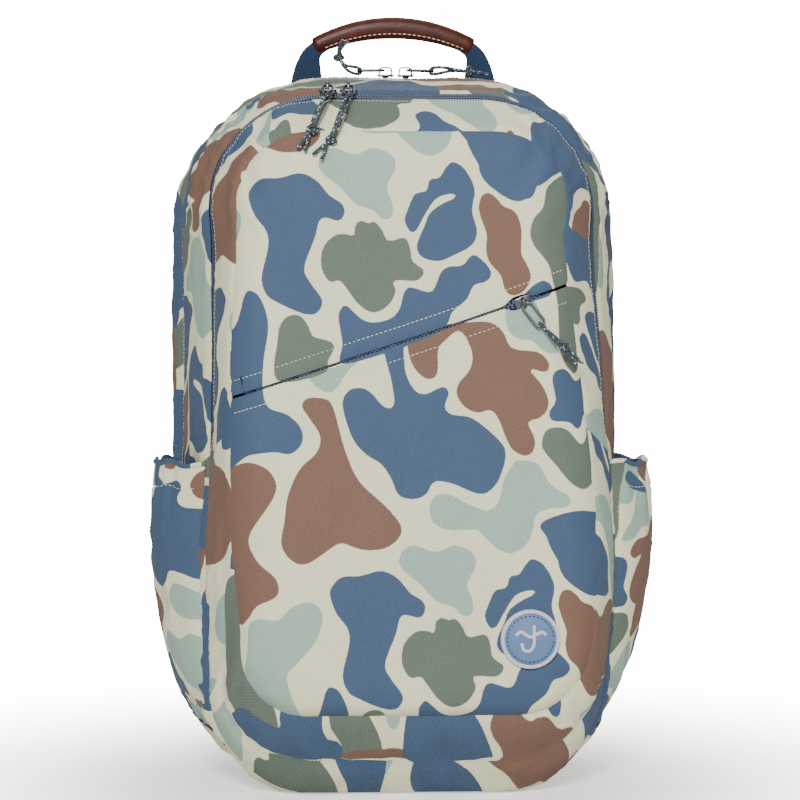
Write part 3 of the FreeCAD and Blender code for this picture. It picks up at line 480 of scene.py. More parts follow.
def spline(knots, steps, closed=True):
    """Points along a Catmull-Rom curve through the knots."""
    knots = np.asarray(knots, float)
    if closed:
        p = [np.roll(knots, k, 0) for k in (1, 0, -1, -2)]
    else:
        padded = np.concatenate([[2 * knots[0] - knots[1]], knots, [2 * knots[-1] - knots[-2]]])
        p = [padded[k:len(padded) - 3 + k] for k in range(4)]
    t = (np.arange(steps) / steps)[None, :, None]
    a, b, c, d = (q[:, None, :] for q in p)
    curve = 0.5 * (2 * b + (c - a) * t + (2 * a - 5 * b + 4 * c - d) * t**2 + (3 * b - a - 3 * c + d) * t**3)
    curve = curve.reshape(-1, knots.shape[1])
    return curve if closed else np.concatenate([curve, knots[-1:]])


def inside_distance(x, z, loop):
    """Distance to a closed loop of points, positive inside it."""
    a, b = loop, np.roll(loop, -1, 0)
    edge = b - a
    px, pz = x[:, None] - a[None, :, 0], z[:, None] - a[None, :, 1]
    along = np.clip((px * edge[:, 0] + pz * edge[:, 1]) / (edge**2).sum(1), 0, 1)
    gap = np.hypot(px - along * edge[:, 0], pz - along * edge[:, 1]).min(1)
    crosses = (a[:, 1] > z[:, None]) != (b[:, 1] > z[:, None])
    at = a[:, 0] + (z[:, None] - a[:, 1]) * edge[:, 0] / np.where(edge[:, 1] == 0, 1e-9, edge[:, 1])
    inside = (crosses & (x[:, None] < at)).sum(1) % 2 == 1
    return np.where(inside, gap, -gap)


MOTIF_LOOPS = {key: [spline(loop, 5) for loop in loops] for key, loops in CAMO_MOTIFS.items()}
REACH = 8.0


def camo(x, z, keep=None):
    """For each colour, the distance into its nearest motif at each point. keep picks the repeats used."""
    x, z = np.asarray(x, float), np.asarray(z, float)
    fields = {}
    for key, loops in MOTIF_LOOPS.items():
        best = np.full(x.shape, -REACH)
        for loop in loops:
            low, high = loop.min(0) - REACH, loop.max(0) + REACH
            for k in range(-4, 5):
                for i in range(-4, 5):
                    if keep is not None and (k, i) not in keep:
                        continue
                    dx = k * CAMO_STEP[0] + i * CAMO_SIDE[0]
                    dz = k * CAMO_STEP[1] + i * CAMO_SIDE[1]
                    near = (x > low[0] + dx) & (x < high[0] + dx) & (z > low[1] + dz) & (z < high[1] + dz)
                    if near.any():
                        gap = inside_distance(x[near] - dx, z[near] - dz, loop)
                        best[near] = np.maximum(best[near], np.maximum(gap, -REACH))
        fields["camo_" + key] = best
    return fields


# ---------------------------------------------------------------- the shell's surface

# Rounded outlines: depth, half width, lowest and highest point, lower and upper corner radius.
OUTLINES = {
    "back": (72, 137, 0.2, 450, 66, 94),
    "main": (36, 139, 0.2, 457, 70, 100),
    "fore": (-42, 123, 0.2, 441, 56, 77),
    "face": (-75, 107, 54, 415, 40, 50),
}
ORDER = ("back", "main", "fore", "face")
FOLD_START, MAIN_FOLD_END, FRONT_FOLD_END = 145, 212, 244


def outline(name, u):
    """Point (x, z) of an outline at u, 0 to 8 over its four sides and four corners from the base's left."""
    _, half, low, high, turn_low, turn_high = OUTLINES[name]
    u = np.mod(np.asarray(u, float), 8)
    k, t = np.floor(u).astype(int), u - np.floor(u)
    straight = {
        0: ((turn_low - half, low), (half - turn_low, low)),
        2: ((half, low + turn_low), (half, high - turn_high)),
        4: ((half - turn_high, high), (turn_high - half, high)),
        6: ((-half, high - turn_high), (-half, low + turn_low)),
    }
    turned = {
        1: ((half - turn_low, low + turn_low), turn_low, -90),
        3: ((half - turn_high, high - turn_high), turn_high, 0),
        5: ((turn_high - half, high - turn_high), turn_high, 90),
        7: ((turn_low - half, low + turn_low), turn_low, 180),
    }
    x, z = np.zeros_like(u), np.zeros_like(u)
    for side, (a, b) in straight.items():
        on = k == side
        x[on], z[on] = a[0] + (b[0] - a[0]) * t[on], a[1] + (b[1] - a[1]) * t[on]
    for side, (centre, radius, start) in turned.items():
        on = k == side
        angle = np.radians(start + 90 * t[on])
        x[on], z[on] = centre[0] + radius * np.cos(angle), centre[1] + radius * np.sin(angle)
    return x, z


# How the filled cloth departs from its cut outlines: half width factor and sideways shift by height.
HEIGHTS = (40, 80, 105, 130, 160, 190, 230, 280, 322, 350, 400)
FACE_FACTOR = (0.99, 1.0, 1.02, 1.045, 1.06, 1.053, 1.033, 1.0, 0.965, 0.94, 0.98)
FACE_SHIFT = (5, 7, 8.5, 8.5, 7.2, 6, 3.5, 0.2, -1.6, -1.8, 0)
FORE_FACTOR = (1.0, 1.02, 1.03, 1.045, 1.048, 1.03, 1.014, 1.0, 0.985, 0.98, 1.0)
FORE_SHIFT = (3, 4, 5, 5.3, 5.3, 5.4, 5.2, 4.2, 2, 1.2, 0)


def settle(points):
    """The cloth of the standing pack: fuller below, leaning a little, corners lifted off the floor."""
    p = np.array(points, float)
    x, y, z = p[..., 0], p[..., 1], p[..., 2]
    fore = np.clip((36 - y) / 78, 0, 1)
    face = np.clip((-42 - y) / 33, 0, 1)
    factor = 1 + (np.interp(z, HEIGHTS, FORE_FACTOR) - 1) * fore * (1 - face)
    factor = factor + (np.interp(z, HEIGHTS, FACE_FACTOR) - 1) * face
    shift = np.interp(z, HEIGHTS, FORE_SHIFT) * fore * (1 - face) + np.interp(z, HEIGHTS, FACE_SHIFT) * face
    lift = 8 * smooth(abs(x), 55, 125) * (1 - smooth(z, 15, 85)) * (1 - 0.6 * face)
    p[..., 0], p[..., 2] = x * factor + shift * smooth(abs(x), 0, 60), z + lift
    return p


def shell(u, y, inset=0.0, full=True):
    """A point of the shell at perimeter u and depth y, inset below the cloth's outer face."""
    u, y = np.broadcast_arrays(np.asarray(u, float), np.asarray(y, float))
    x, z = np.zeros(u.shape), np.zeros(u.shape)
    for near, far in zip(ORDER, ORDER[1:]):
        a, b = OUTLINES[near][0], OUTLINES[far][0]
        on = (y <= a) & (y >= b)
        t = (a - y) / (a - b)
        (ax, az), (bx, bz) = outline(near, u), outline(far, u)
        x = np.where(on, ax + (bx - ax) * t, x)
        z = np.where(on, az + (bz - az) * t, z)
    points = settle(np.stack([x, y, z], -1)) if full else np.stack([x, y, z], -1)
    if np.any(inset):
        inward = points - np.array([0, 0, 230.0])
        inward[..., 1] = 0
        inward[..., 2] = np.where(abs(inward[..., 2]) < 150, 0,
                                  np.sign(inward[..., 2]) * (abs(inward[..., 2]) - 150))
        length = np.maximum(np.linalg.norm(inward, axis=-1, keepdims=True), 1)
        points = points - inward / length * np.asarray(inset)[..., None]
    return points


def u_at(name, height):
    """Perimeter u where the right side of an outline reaches a height; the left side's is 12 - u."""
    _, half, low, high, turn_low, turn_high = OUTLINES[name]
    if height <= low + turn_low:
        return 1 + math.degrees(math.asin((height - low - turn_low) / turn_low) + math.pi / 2) / 90
    if height <= high - turn_high:
        return 2 + (height - low - turn_low) / (high - turn_high - low - turn_low)
    return 3 + math.degrees(math.asin((height - high + turn_high) / turn_high)) / 90


def spaced(start, end, pitch, name="main"):
    """Values of u from start to end, about pitch apart along the outline."""
    fine = np.linspace(start, end, 3000)
    x, z = outline(name, fine)
    run = np.concatenate([[0], np.hypot(np.diff(x), np.diff(z)).cumsum()])
    count = max(3, int(round(run[-1] / pitch)) + 1)
    return np.interp(np.linspace(0, run[-1], count), run, fine), run[-1]


def sharpen(height):
    """Wrinkles with narrow valleys and broad crests."""
    return 1 - 2 * abs(np.clip(height, -1.5, 1.5) / 1.5) ** 0.8


def half_width(name, z):
    """Half width of an outline at a height."""
    _, half, low, high, turn_low, turn_high = OUTLINES[name]
    under = np.clip(low + turn_low - z, 0, turn_low)
    over = np.clip(z - high + turn_high, 0, turn_high)
    lost = turn_low - np.sqrt(turn_low**2 - under**2) + turn_high - np.sqrt(turn_high**2 - over**2)
    return half - lost


def half_at(y, z):
    """Half width of the unsettled shell at a depth and height."""
    widths = [half_width(name, z) for name in ORDER]
    depths = [OUTLINES[name][0] for name in ORDER]
    t = np.interp(y, depths[::-1], np.arange(len(ORDER))[::-1])
    k = np.clip(np.floor(t).astype(int), 0, len(ORDER) - 2)
    stack = np.stack([w + 0 * t for w in widths])
    low_side = np.take_along_axis(stack, k[None], 0)[0]
    high_side = np.take_along_axis(stack, k[None] + 1, 0)[0]
    return low_side + (high_side - low_side) * (t - k)


def gusset(name, section, u, closed, near, far, bulge, wrinkle, seed, print_at, seam=None):
    """A strip of camouflage cloth round the shell between two depths, each a function of height. seam is the
    share of its width at which a second piece of cloth is joined to it under the base.

    Returns the object, and the strip's points and normals for what is sewn along it."""
    length = spaced(u[0], u[-1] if not closed else u[0] + 8, 5, section)[1]
    along = np.linspace(0, length, len(u), endpoint=not closed)[None, :]
    heights = outline(section, u)[1]
    a, b = near(heights)[None, :], far(heights)[None, :]
    rows = max(6, int(round(abs(np.mean(a - b)) / 2.3)) + 1)
    t = np.linspace(0, 1, rows)[:, None]
    depths = a + (b - a) * t
    points = shell(np.broadcast_to(u[None, :], depths.shape), depths)
    normal, _ = outward_normals(points, closed)
    along = along + 0 * depths
    z, side = points[..., 2], abs(points[..., 0])
    low_corner = 1 - smooth(z, 40, 230)
    top_corner = smooth(z, 320, 395) * smooth(side, 45, 90)
    edge = np.minimum(t, 1 - t) * abs(b - a)
    creases = 1.7 * sharpen(ripple(along, depths * 0.5, 14, seed))
    creases = creases * (0.3 + 1.1 * top_corner + 0.6 * low_corner)
    folds = 2.3 * sharpen(ripple(along * 0.4, depths, 21, seed + 3)) * (0.4 + 0.6 * low_corner)
    pucker = np.sin(along * 0.84 + 2 * np.sin(along / 19)) * np.exp(-edge / 5)
    pucker = pucker * (1 - np.exp(-edge / 2)) * 0.55
    lengthwise = 2.4 * sharpen(ripple(along * 0.13, depths, 12, seed + 7)) * (0.25 + 0.9 * top_corner)
    height = bulge(points) * np.sin(np.pi * t) + pucker - 1.1 * np.exp(-edge / 1.2)
    height = height + wrinkle * (creases + folds + lengthwise) * (1 - np.exp(-edge / 5))
    if seam:
        seam_gap = abs(t - seam) * abs(b - a)
        below = z < 75
        height = height - below * (2.6 * np.exp(-seam_gap / 1.6) - 1.2 * np.exp(-seam_gap / 9))
    points = points + normal * height[..., None]
    points[..., 2] = np.maximum(points[..., 2], 0.4)
    other_cloth = (t < seam) & (z < 75) if seam else 0
    fields = camo(depths + print_at[0] + 70 * other_cloth,
                  412 - along * 0.98 + print_at[1] + 95 * other_cloth)
    flat = np.stack([along, depths, 0 * depths], -1)
    obj = cloth(name, points, 1.2, "gusset_camo", closed=closed, fields=fields, flat=flat)
    return obj, points, outward_normals(points, closed)[0]


def zipped(line, stand, low):
    """Edge depth of a gusset along a zip at depth line: stand clear of it above low, and on it below."""
    return lambda z: line + stand * smooth(z, low - 8, low + 6)


def flat_edge(line):
    return lambda z: line + 0 * np.asarray(z, float)


def side_bulge(amount):
    """Fullness of the cloth at the sides, none over the top or under the base."""
    def height(points):
        z = points[..., 2]
        sides = amount * smooth(abs(points[..., 0]), 95, 130)
        return sides * smooth(z, 15, 90) * (1 - 0.6 * smooth(z, 300, 420))
    return height


LOOP, _ = spaced(0, 8, 2.6, "main")
LOOP = LOOP[:-1]
rear, *_ = gusset(
    "rear_gusset_cloth", "main", LOOP, True, flat_edge(71.5), zipped(36, 4.6, 190), side_bulge(8), 1.0, 1.0,
    (-20, 35)
)
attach(rear, "pack")
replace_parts(rear, "rear_gusset", "base_panel")
middle, middle_points, middle_normals = gusset(
    "main_gusset_cloth", "fore", LOOP, True, zipped(36, -4.6, 212), zipped(-42, 4.6, 212), side_bulge(3.5),
    1.1, 2.3,
    (10, -70),
)
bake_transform(middle)
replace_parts(middle, "main_zip_gusset", "side_gusset_lower")

UPPER, _ = spaced(u_at("fore", MAIN_FOLD_END), 9 - u_at("fore", MAIN_FOLD_END), 2.4, "fore")
LOWER, _ = spaced(1 - u_at("fore", MAIN_FOLD_END), u_at("fore", MAIN_FOLD_END), 2.4, "fore")
front_upper, upper_points, upper_normals = gusset(
    "front_gusset_cloth", "fore", UPPER, False, zipped(-42, -4.6, 222), flat_edge(-75), side_bulge(1.6),
    1.0, 4.1,
    (60, 10),
)
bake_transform(front_upper)
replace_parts(front_upper, "front_zip_gusset")
front_lower, *_ = gusset(
    "front_lower_gusset_cloth", "fore", LOWER, False, flat_edge(-42), flat_edge(-75), side_bulge(1.6), 1.0,
    5.2,
    (-60, 60), seam=0.45,
)
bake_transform(front_lower)
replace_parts(front_lower, "front_gusset_lower", "lower_fold_band", "upper_fold_band")

# ---------------------------------------------------------------- face panel and its diagonal zip

FACE_RISE, FACE_ROUND = 9.0, 19.0
SLIT_ANGLE = math.radians(18.1)
SLIT_Z, SLIDER_AT = 285.8, 77.0
ALONG_SLIT = np.array([math.cos(SLIT_ANGLE), 0, math.sin(SLIT_ANGLE)])


def face_inside(x, z):
    """Distance in from the panel's seam."""
    _, half, low, high, turn_low, turn_high = OUTLINES["face"]
    gap = np.minimum(np.minimum(half - abs(x), z - low), high - z)
    for turn, centre, way in ((turn_low, low + turn_low, -1), (turn_high, high - turn_high, 1)):
        dx, dz = abs(x) - (half - turn), (z - centre) * way
        gap = np.where((dx > 0) & (dz > 0), turn - np.hypot(dx, dz), gap)
    return np.maximum(gap, 0)


def slit_coordinates(x, z):
    """Along and across the diagonal zip's line."""
    dz = z - SLIT_Z
    s = x * math.cos(SLIT_ANGLE) + dz * math.sin(SLIT_ANGLE)
    return s, dz * math.cos(SLIT_ANGLE) - x * math.sin(SLIT_ANGLE)


def lip(x):
    """How far each lip of the diagonal zip stands from its line, with room for the slider's crown."""
    s = x / math.cos(SLIT_ANGLE)
    return 0.8 + 3.1 * np.exp(-((s - SLIDER_AT) / 7.5) ** 4)


def face_surface(x, z):
    """The face panel's outer face at a cut position, settled, with its roll at the seam and its wrinkles."""
    gap = face_inside(x, z)
    s, across = slit_coordinates(x, z)
    y = -75 - FACE_RISE * np.sin(math.pi / 2 * np.clip(gap / FACE_ROUND, 0, 1))
    y = y + 1.3 * np.exp(-gap / 1.2) - 1.3 * np.exp(-((gap - 6) / 5) ** 2) * (1 - smooth(z, 90, 150))
    corner = np.exp(-gap / 26) * smooth(abs(x), 40, 95) * (smooth(z, 320, 400) + 1 - smooth(z, 70, 150))
    spin = np.arctan2(z - 240, x)
    y = y + corner * (1.5 * np.sin(spin * 47) + 1.3 * np.sin(spin * 29 + 1.0)) * (1 - np.exp(-gap / 3))
    clear = 1 - 0.75 * np.exp(-((across / 16) ** 2))
    y = y + clear * (1.1 * ripple(x, z, 52, 3.0) * smooth(gap, 0, 25)
                     + 0.7 * ripple(x, z, 17, 5.0) * np.exp(-gap / 16))
    pull = np.exp(-abs(across) / 9) * smooth(gap, 2, 12)
    y = y + pull * 0.5 * np.sin(s * 0.55 + 1.5 * np.sin(s / 23))
    y = y + 0.4 * (np.exp(-((abs(across) - 9.5) / 0.8) ** 2))
    y = y + 1.0 * np.exp(-np.maximum(abs(across) - lip(x), 0) / 0.9)
    return settle(np.stack([x, y, z], -1))


def slit_height(xi, sign):
    """Height of a lip at a column of the panel's grid."""
    z = SLIT_Z + 0 * xi
    for _ in range(12):
        x = xi * half_width("face", z)
        z = SLIT_Z + math.tan(SLIT_ANGLE) * x + sign * lip(x) / math.cos(SLIT_ANGLE)
    return z


def face_piece(name, bottom, top, spacing):
    """The part of the face between two heights, each given for every column."""
    xi = np.linspace(-1, 1, 109)
    zz = bottom(xi)[None, :] + (top(xi) - bottom(xi))[None, :] * spacing[:, None]
    xx = xi[None, :] * half_width("face", zz)
    points = face_surface(xx, zz)
    print_x = (points[..., 0] - PRINT_SHIFT) / PRINT_SCALE
    fields = camo(print_x, points[..., 2], keep={(-1, 0), (0, 0), (1, 0)})
    flat = np.stack([points[..., 0], points[..., 2], 0 * zz], -1)
    obj = cloth(name, points, 1.5, "face_camo", fields=fields, flat=flat, centre=np.array([0, 0, 240.0]))
    return obj


def level(height):
    """A straight edge across the panel."""
    return lambda xi: height + 0 * xi


face_low = face_piece("face_lower_cloth", level(54.0), level(float(MAIN_FOLD_END)),
                      np.linspace(0, 1, 84) ** 1.3)
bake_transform(face_low)
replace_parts(face_low, "face_panel_lower")
face_mid = face_piece("face_middle_cloth", level(float(MAIN_FOLD_END)), lambda xi: slit_height(xi, -1),
                      np.linspace(0, 1, 44))
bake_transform(face_mid)
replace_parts(face_mid, "face_panel_middle")
face_top = face_piece("face_top_cloth", lambda xi: slit_height(xi, 1), level(415.0),
                      1 - np.linspace(1, 0, 72) ** 1.3)
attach(face_top, "front_flap")
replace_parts(face_top, "face_panel_top")


def print_on(obj, right, rise):
    """Prints the camouflage on a finished mesh, from its own X and Z."""
    spots = np.array([v.co for v in obj.data.vertices]) / UNIT
    for key, values in camo(spots[:, 0] + right, spots[:, 2] + rise).items():
        layer = obj.data.attributes.new(key, "FLOAT", "POINT")
        layer.data.foreach_set("value", values.astype(np.float32))
    return obj

# ---------------------------------------------------------------- swept pieces


def sweep(name, path, across, half_wide, half_thick, material, body=None, power=2.6, sides=14, ends=0.35,
          closed=False):
    """A band or tube along a path: across is each point's width direction, and the section is a superellipse.

    ends is how far, in half thicknesses, each end is rounded off."""
    path = np.asarray(path, float)
    count = len(path)
    if closed:
        tangent = np.roll(path, -1, 0) - np.roll(path, 1, 0)
    else:
        tangent = np.gradient(path, axis=0)
    tangent = tangent / np.linalg.norm(tangent, axis=1, keepdims=True)
    across = np.broadcast_to(np.asarray(across, float), path.shape)
    across = across - tangent * (across * tangent).sum(1, keepdims=True)
    across = across / np.linalg.norm(across, axis=1, keepdims=True)
    up = np.cross(tangent, across)
    wide = np.broadcast_to(np.asarray(half_wide, float), (count,)).copy()
    thick = np.broadcast_to(np.asarray(half_thick, float), (count,)).copy()
    angle = np.linspace(0, 2 * math.pi, sides, endpoint=False)
    cx = np.sign(np.cos(angle)) * abs(np.cos(angle)) ** (2 / power)
    cz = np.sign(np.sin(angle)) * abs(np.sin(angle)) ** (2 / power)
    rings = (path[:, None] + across[:, None] * (wide[:, None] * cx)[..., None]
             + up[:, None] * (thick[:, None] * cz)[..., None])
    run = np.concatenate([[0], np.linalg.norm(np.diff(path, axis=0), axis=1).cumsum()])
    flat = np.stack([wide[:, None] * cx, run[:, None] + 0 * cx, 0 * rings[..., 0]], -1)
    if closed:
        rings = np.concatenate([rings, rings[:1]])
        flat = np.concatenate([flat, flat[:1]])
        points, faces = rings.reshape(-1, 3), grid_faces(count + 1, sides, True)
        return new_mesh(name, points, faces, (material,), body, attributes={"cloth": flat.reshape(-1, 3)})
    caps = []
    for end, way in ((0, -1), (-1, 1)):
        middle = rings[end].mean(0)
        for shrink, push in ((0.86, 0.6), (0.5, 0.95)):
            cap = middle + (rings[end] - middle) * shrink + tangent[end] * way * push * ends * thick[end]
            caps.append((end, cap))
    first, last = [c for e, c in caps if e == 0][::-1], [c for e, c in caps if e == -1]
    rings = np.concatenate([np.array(first), rings, np.array(last)])
    flat = np.concatenate([flat[:1], flat[:1], flat, flat[-1:], flat[-1:]])
    count += 4
    faces = grid_faces(count, sides, True)
    faces.append(list(range(sides)))
    faces.append([(count - 1) * sides + k for k in range(sides)][::-1])
    return new_mesh(name, rings.reshape(-1, 3), faces, (material,), body,
                    attributes={"cloth": flat.reshape(-1, 3)})


def joined(name, objects):
    """One object from several, keeping their materials."""
    with bpy.context.temp_override(active_object=objects[0], selected_editable_objects=objects):
        bpy.ops.object.join()
    objects[0].name = name
    return objects[0]


def stitches(name, path, normals, body, material="thread", pitch=2.7, long=2.0, radius=0.24, rise=0.08):
    """A row of thread stitches lying on a surface along a path."""
    path, normals = np.asarray(path, float), np.asarray(normals, float)
    run = np.concatenate([[0], np.linalg.norm(np.diff(path, axis=0), axis=1).cumsum()])
    starts = np.arange(pitch / 2, run[-1] - long, pitch)
    at = lambda s, values: np.stack([np.interp(s, run, values[:, k]) for k in range(3)], -1)
    points, faces = [], []
    shares = ((0.0, 0.15, -0.5), (0.15, 0.8, 0.5), (0.5, 1.0, 1.0), (0.85, 0.8, 0.5), (1.0, 0.15, -0.5))
    for start in starts:
        first = len(points)
        for share, swell, lift in shares:
            spot, normal = at(start + share * long, path), at(start + share * long, normals)
            normal = normal / np.linalg.norm(normal)
            ahead = at(start + share * long + 0.4, path) - spot
            side = np.cross(normal, ahead)
            side = side / max(np.linalg.norm(side), 1e-9)
            middle = spot + normal * (rise + radius * lift * 0.8)
            for turn in range(6):
                a = turn * math.pi / 3
                points.append(middle + (side * math.cos(a) + normal * math.sin(a) * 0.8) * radius * swell)
        faces += [[first + r * 6 + c, first + r * 6 + (c + 1) % 6, first + r * 6 + 6 + (c + 1) % 6,
                   first + r * 6 + 6 + c]
                  for r in range(4) for c in range(6)]
    if not points:
        return None
    points = np.array(points)
    obj = new_mesh(name, points, faces, (material,), None, attributes={"cloth": points})
    return finish_on(obj, body)


def finish_on(obj, body):
    """Puts a sewn-on piece on a body; one on the stretch of cloth between two bodies stays unparented where
    it is.
    """
    if body == "main_fold":
        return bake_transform(obj)
    if body == "front_fold":
        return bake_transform(obj)
    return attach(obj, body)


def row_at(points, share):
    """A line along a strip at a share of its width."""
    place = share * (len(points) - 1)
    low = min(int(place), len(points) - 2)
    return points[low] * (1 - place + low) + points[low + 1] * (place - low)


def above(line, normals, height):
    on = line[:, 2] > height
    return line[on], normals[on]


# ---------------------------------------------------------------- zips


BOX_CORNERS = ((-1, -1, -1), (-1, 1, -1), (1, 1, -1), (1, -1, -1), (-1, -1, 1), (-1, 1, 1), (1, 1, 1),
               (1, -1, 1))
BOX_FACES = ((0, 1, 2, 3), (7, 6, 5, 4), (0, 4, 5, 1), (1, 5, 6, 2), (2, 6, 7, 3), (3, 7, 4, 0))


def boxes(name, corners, material, body=None):
    """Many small blocks as one mesh, from each block's eight corners in the order of BOX_CORNERS."""
    faces = [[8 * k + i for i in face] for k in range(len(corners)) for face in BOX_FACES]
    return new_mesh(name, corners.reshape(-1, 3), faces, (material,), body, smooth=False)


def zip_line(name, section, line, way, low, body):
    """One half of a zip: a woven tape under the cloth's edge and coil teeth along it."""
    u, run = spaced(u_at(section, low), 9 - u_at(section, low), 1.7, section)
    far, near = line + way * 8.5, line + way * 0.7
    depths = np.linspace(near, far, 5)[:, None]
    sink = 2.6 + 0.35 * ripple(np.linspace(0, run, len(u))[None, :], depths, 12, 2.0)
    points = shell(u[None, :] + 0 * depths, depths, inset=sink)
    tape = cloth(name + "_tape", points, 0.7, "tape", "tape")
    finish_on(tape, body)
    edge = shell(u, line + way * 1.9, inset=2.0 + 0 * u)
    ahead = np.gradient(edge, axis=0)
    ahead = ahead / np.linalg.norm(ahead, axis=1, keepdims=True)
    out = edge - CENTRE
    out[:, 1] = 0
    out = out / np.linalg.norm(out, axis=1, keepdims=True)
    depth_way = np.array([0, 1.0, 0])
    corners = []
    for a, b, c in BOX_CORNERS:
        swell = 0.75 if c > 0 else 1.0
        corners.append(edge + ahead * a * 0.52 * swell + depth_way * b * 1.7 * swell + out * (c * 0.7))
    teeth = boxes(name + "_teeth", np.stack(corners, 1), "teeth")
    finish_on(teeth, body)
    return tape


for half, section, line, way, low, body in (
    ("main_zip_rear", "main", 36, 1, 196, "pack"),
    ("main_zip_front", "main", 36, -1, 213, "front_section"),
    ("front_zip_rear", "fore", -42, 1, 213, "front_section"),
    ("front_zip_front", "fore", -42, -1, 224, "front_fold"),
):
    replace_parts(zip_line(half, section, line, way, low, body), half + "_half")

for name, points, normals, share, body, low in (
    ("middle_rear_topstitch", middle_points, middle_normals, 0.055, "main_fold", 60),
    ("front_topstitch", upper_points, upper_normals, 0.13, "front_fold", 0),
):
    line, way = row_at(points, share), row_at(normals, share)
    start = int(np.argmax(line[:, 2] < low)) if low and (line[:, 2] < low).any() else 0
    line, way = above(np.roll(line, -start, 0), np.roll(way, -start, 0), low)
    stitches(name, line, way, body)

# ---------------------------------------------------------------- diagonal zip on the face


def beside_slit(s, offset):
    """Position (x, z) at s along the diagonal zip's line and offset above it."""
    x = s * math.cos(SLIT_ANGLE) - offset * math.sin(SLIT_ANGLE)
    z = SLIT_Z + s * math.sin(SLIT_ANGLE) + offset * math.cos(SLIT_ANGLE)
    return x, z


def along_face(offset, reach, count=260):
    """Points and outward normals on the face along a line beside the diagonal zip."""
    s = np.linspace(-reach, reach, count)
    x, z = beside_slit(s, offset)
    inside = face_inside(x, z) > 1.0
    x, z = x[inside], z[inside]
    points = face_surface(x, z)
    dx = face_surface(x + 0.4, z) - points
    dz = face_surface(x, z + 0.4) - points
    normal = np.cross(dx, dz)
    normal = normal / np.linalg.norm(normal, axis=1, keepdims=True)
    return points, normal


for label, offset in (("upper", 9.5), ("lower", -9.5)):
    line, way = along_face(offset, 130)
    stitches(f"pocket_{label}_topstitch", line, way, "front_flap", pitch=2.9, long=2.2, radius=0.27)

slit_s = np.linspace(-103, 99, 130)
for label, low, high in (("upper", 0.05, 10.5), ("lower", -10.5, -0.05)):
    offsets = np.linspace(low, high, 5)[:, None]
    x, z = beside_slit(slit_s[None, :], offsets)
    points = settle(np.stack([x, -80.2 + 0 * x, z], -1))
    tape = cloth(f"pocket_tape_{label}", points, 0.6, "tape", "tape", centre=np.array([0, 100.0, 250]))
    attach(tape, "front_flap")
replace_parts(tape, "pocket_zip_tape")
teeth = []
for k, s in enumerate(np.arange(-95, 92, 1.35)):
    middle = np.array([s * math.cos(SLIT_ANGLE), -81.2, SLIT_Z + s * math.sin(SLIT_ANGLE)])
    side = np.array([-math.sin(SLIT_ANGLE), 0, math.cos(SLIT_ANGLE)]) * (1 if k % 2 else -1)
    middle[0] = settle(middle)[0]
    teeth.append([middle + side * (1.2 + b * 1.4) + ALONG_SLIT * a * 0.5 + np.array([0, -c * 0.5, 0])
                  for a, b, c in BOX_CORNERS])
coil = boxes("pocket_zip_coil", np.array(teeth), "teeth", "front_flap")

# ---------------------------------------------------------------- sliders, rings and cords


def paint(node, material):
    """Gives a piece that is kept from the CAD model its material."""
    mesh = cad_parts[node].data
    mesh.materials.clear()
    mesh.materials.append(MATERIALS[material])


def turned(axis, degrees):
    return np.array(Matrix.Rotation(math.radians(degrees), 3, axis))


def slab(name, outline_points, low, high, material, bevel=0.35):
    """A plate from a flat outline (x, y) between two heights, with rounded edges."""
    count = len(outline_points)
    flat = np.asarray(outline_points, float)
    points = [(x, y, h) for h in (low, high) for x, y in flat]
    faces = [list(range(count))[::-1], [count + k for k in range(count)]]
    faces += [[k, (k + 1) % count, count + (k + 1) % count, count + k] for k in range(count)]
    obj = new_mesh(name, points, faces, (material,))
    rounding = obj.modifiers.new("edges", "BEVEL")
    rounding.width, rounding.segments, rounding.limit_method = bevel * UNIT, 3, "ANGLE"
    return settle_modifiers(obj)


def settle_modifiers(obj):
    """Applies an object's modifiers, so that its mesh is final."""
    shown = bpy.context.evaluated_depsgraph_get()
    mesh = bpy.data.meshes.new_from_object(obj.evaluated_get(shown))
    obj.modifiers.clear()
    obj.data = mesh
    return obj


def move(obj, turn, place):
    """Turns an object's mesh by a 3 × 3 matrix and moves it by a vector in millimetres."""
    matrix = Matrix(turn.tolist()).to_4x4()
    matrix.translation = Vector(place) * UNIT
    obj.data.transform(matrix)
    return obj


SLIDER_OUTLINE = ((-5.5, -2.0), (-4.6, -3.4), (1.5, -4.0), (4.6, -3.6), (5.5, -2.6), (5.5, 2.6), (4.6, 3.6),
                  (1.5, 4.0), (-4.6, 3.4), (-5.5, 2.0))


def slider(name, place, turn, across, body):
    """A zip slider: two plates joined by a post, and a bridge over the upper one that holds the ring."""
    parts = [slab(name, SLIDER_OUTLINE, 0.3, 1.5, "metal"),
             slab(name + "_under", SLIDER_OUTLINE, -3.9, -2.9, "metal"),
             slab(name + "_post", ((-2, -0.4), (2, -0.4), (2, 0.4), (-2, 0.4)), -3.0, 0.5, "metal", 0.1)]
    half = 2.65 if across else 4.05
    arch = np.array([(-half, 0, 1.2), (-half, 0, 3.6), (-half + 0.5, 0, 5.4), (-half + 1.6, 0, 6.2),
                     (0, 0, 6.25),
                     (half - 1.6, 0, 6.2), (half - 0.5, 0, 5.4), (half, 0, 3.6), (half, 0, 1.2)])
    arch = spline(arch, 4, closed=False)
    arch[:, 2] = np.minimum(arch[:, 2], 6.25)
    bridge = sweep(name + "_bridge", arch, (0, 1, 0), 1.05, 0.6, "metal", power=3.2, sides=12)
    if across:
        bridge.data.transform(Matrix.Rotation(math.radians(90), 4, "Z"))
    whole = joined(name, [parts[0], parts[1], parts[2], bridge])
    move(whole, turn, place)
    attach(whole, body)
    return whole


RISE, SHIFT, RING_LONG = 4.5, 1.0, 17.2
CORD_RADIUS = 1.1
LIE = np.eye(3)
LAY = turned("Y", -18.1) @ turned("X", 90)
SWING = turned("Y", -38)
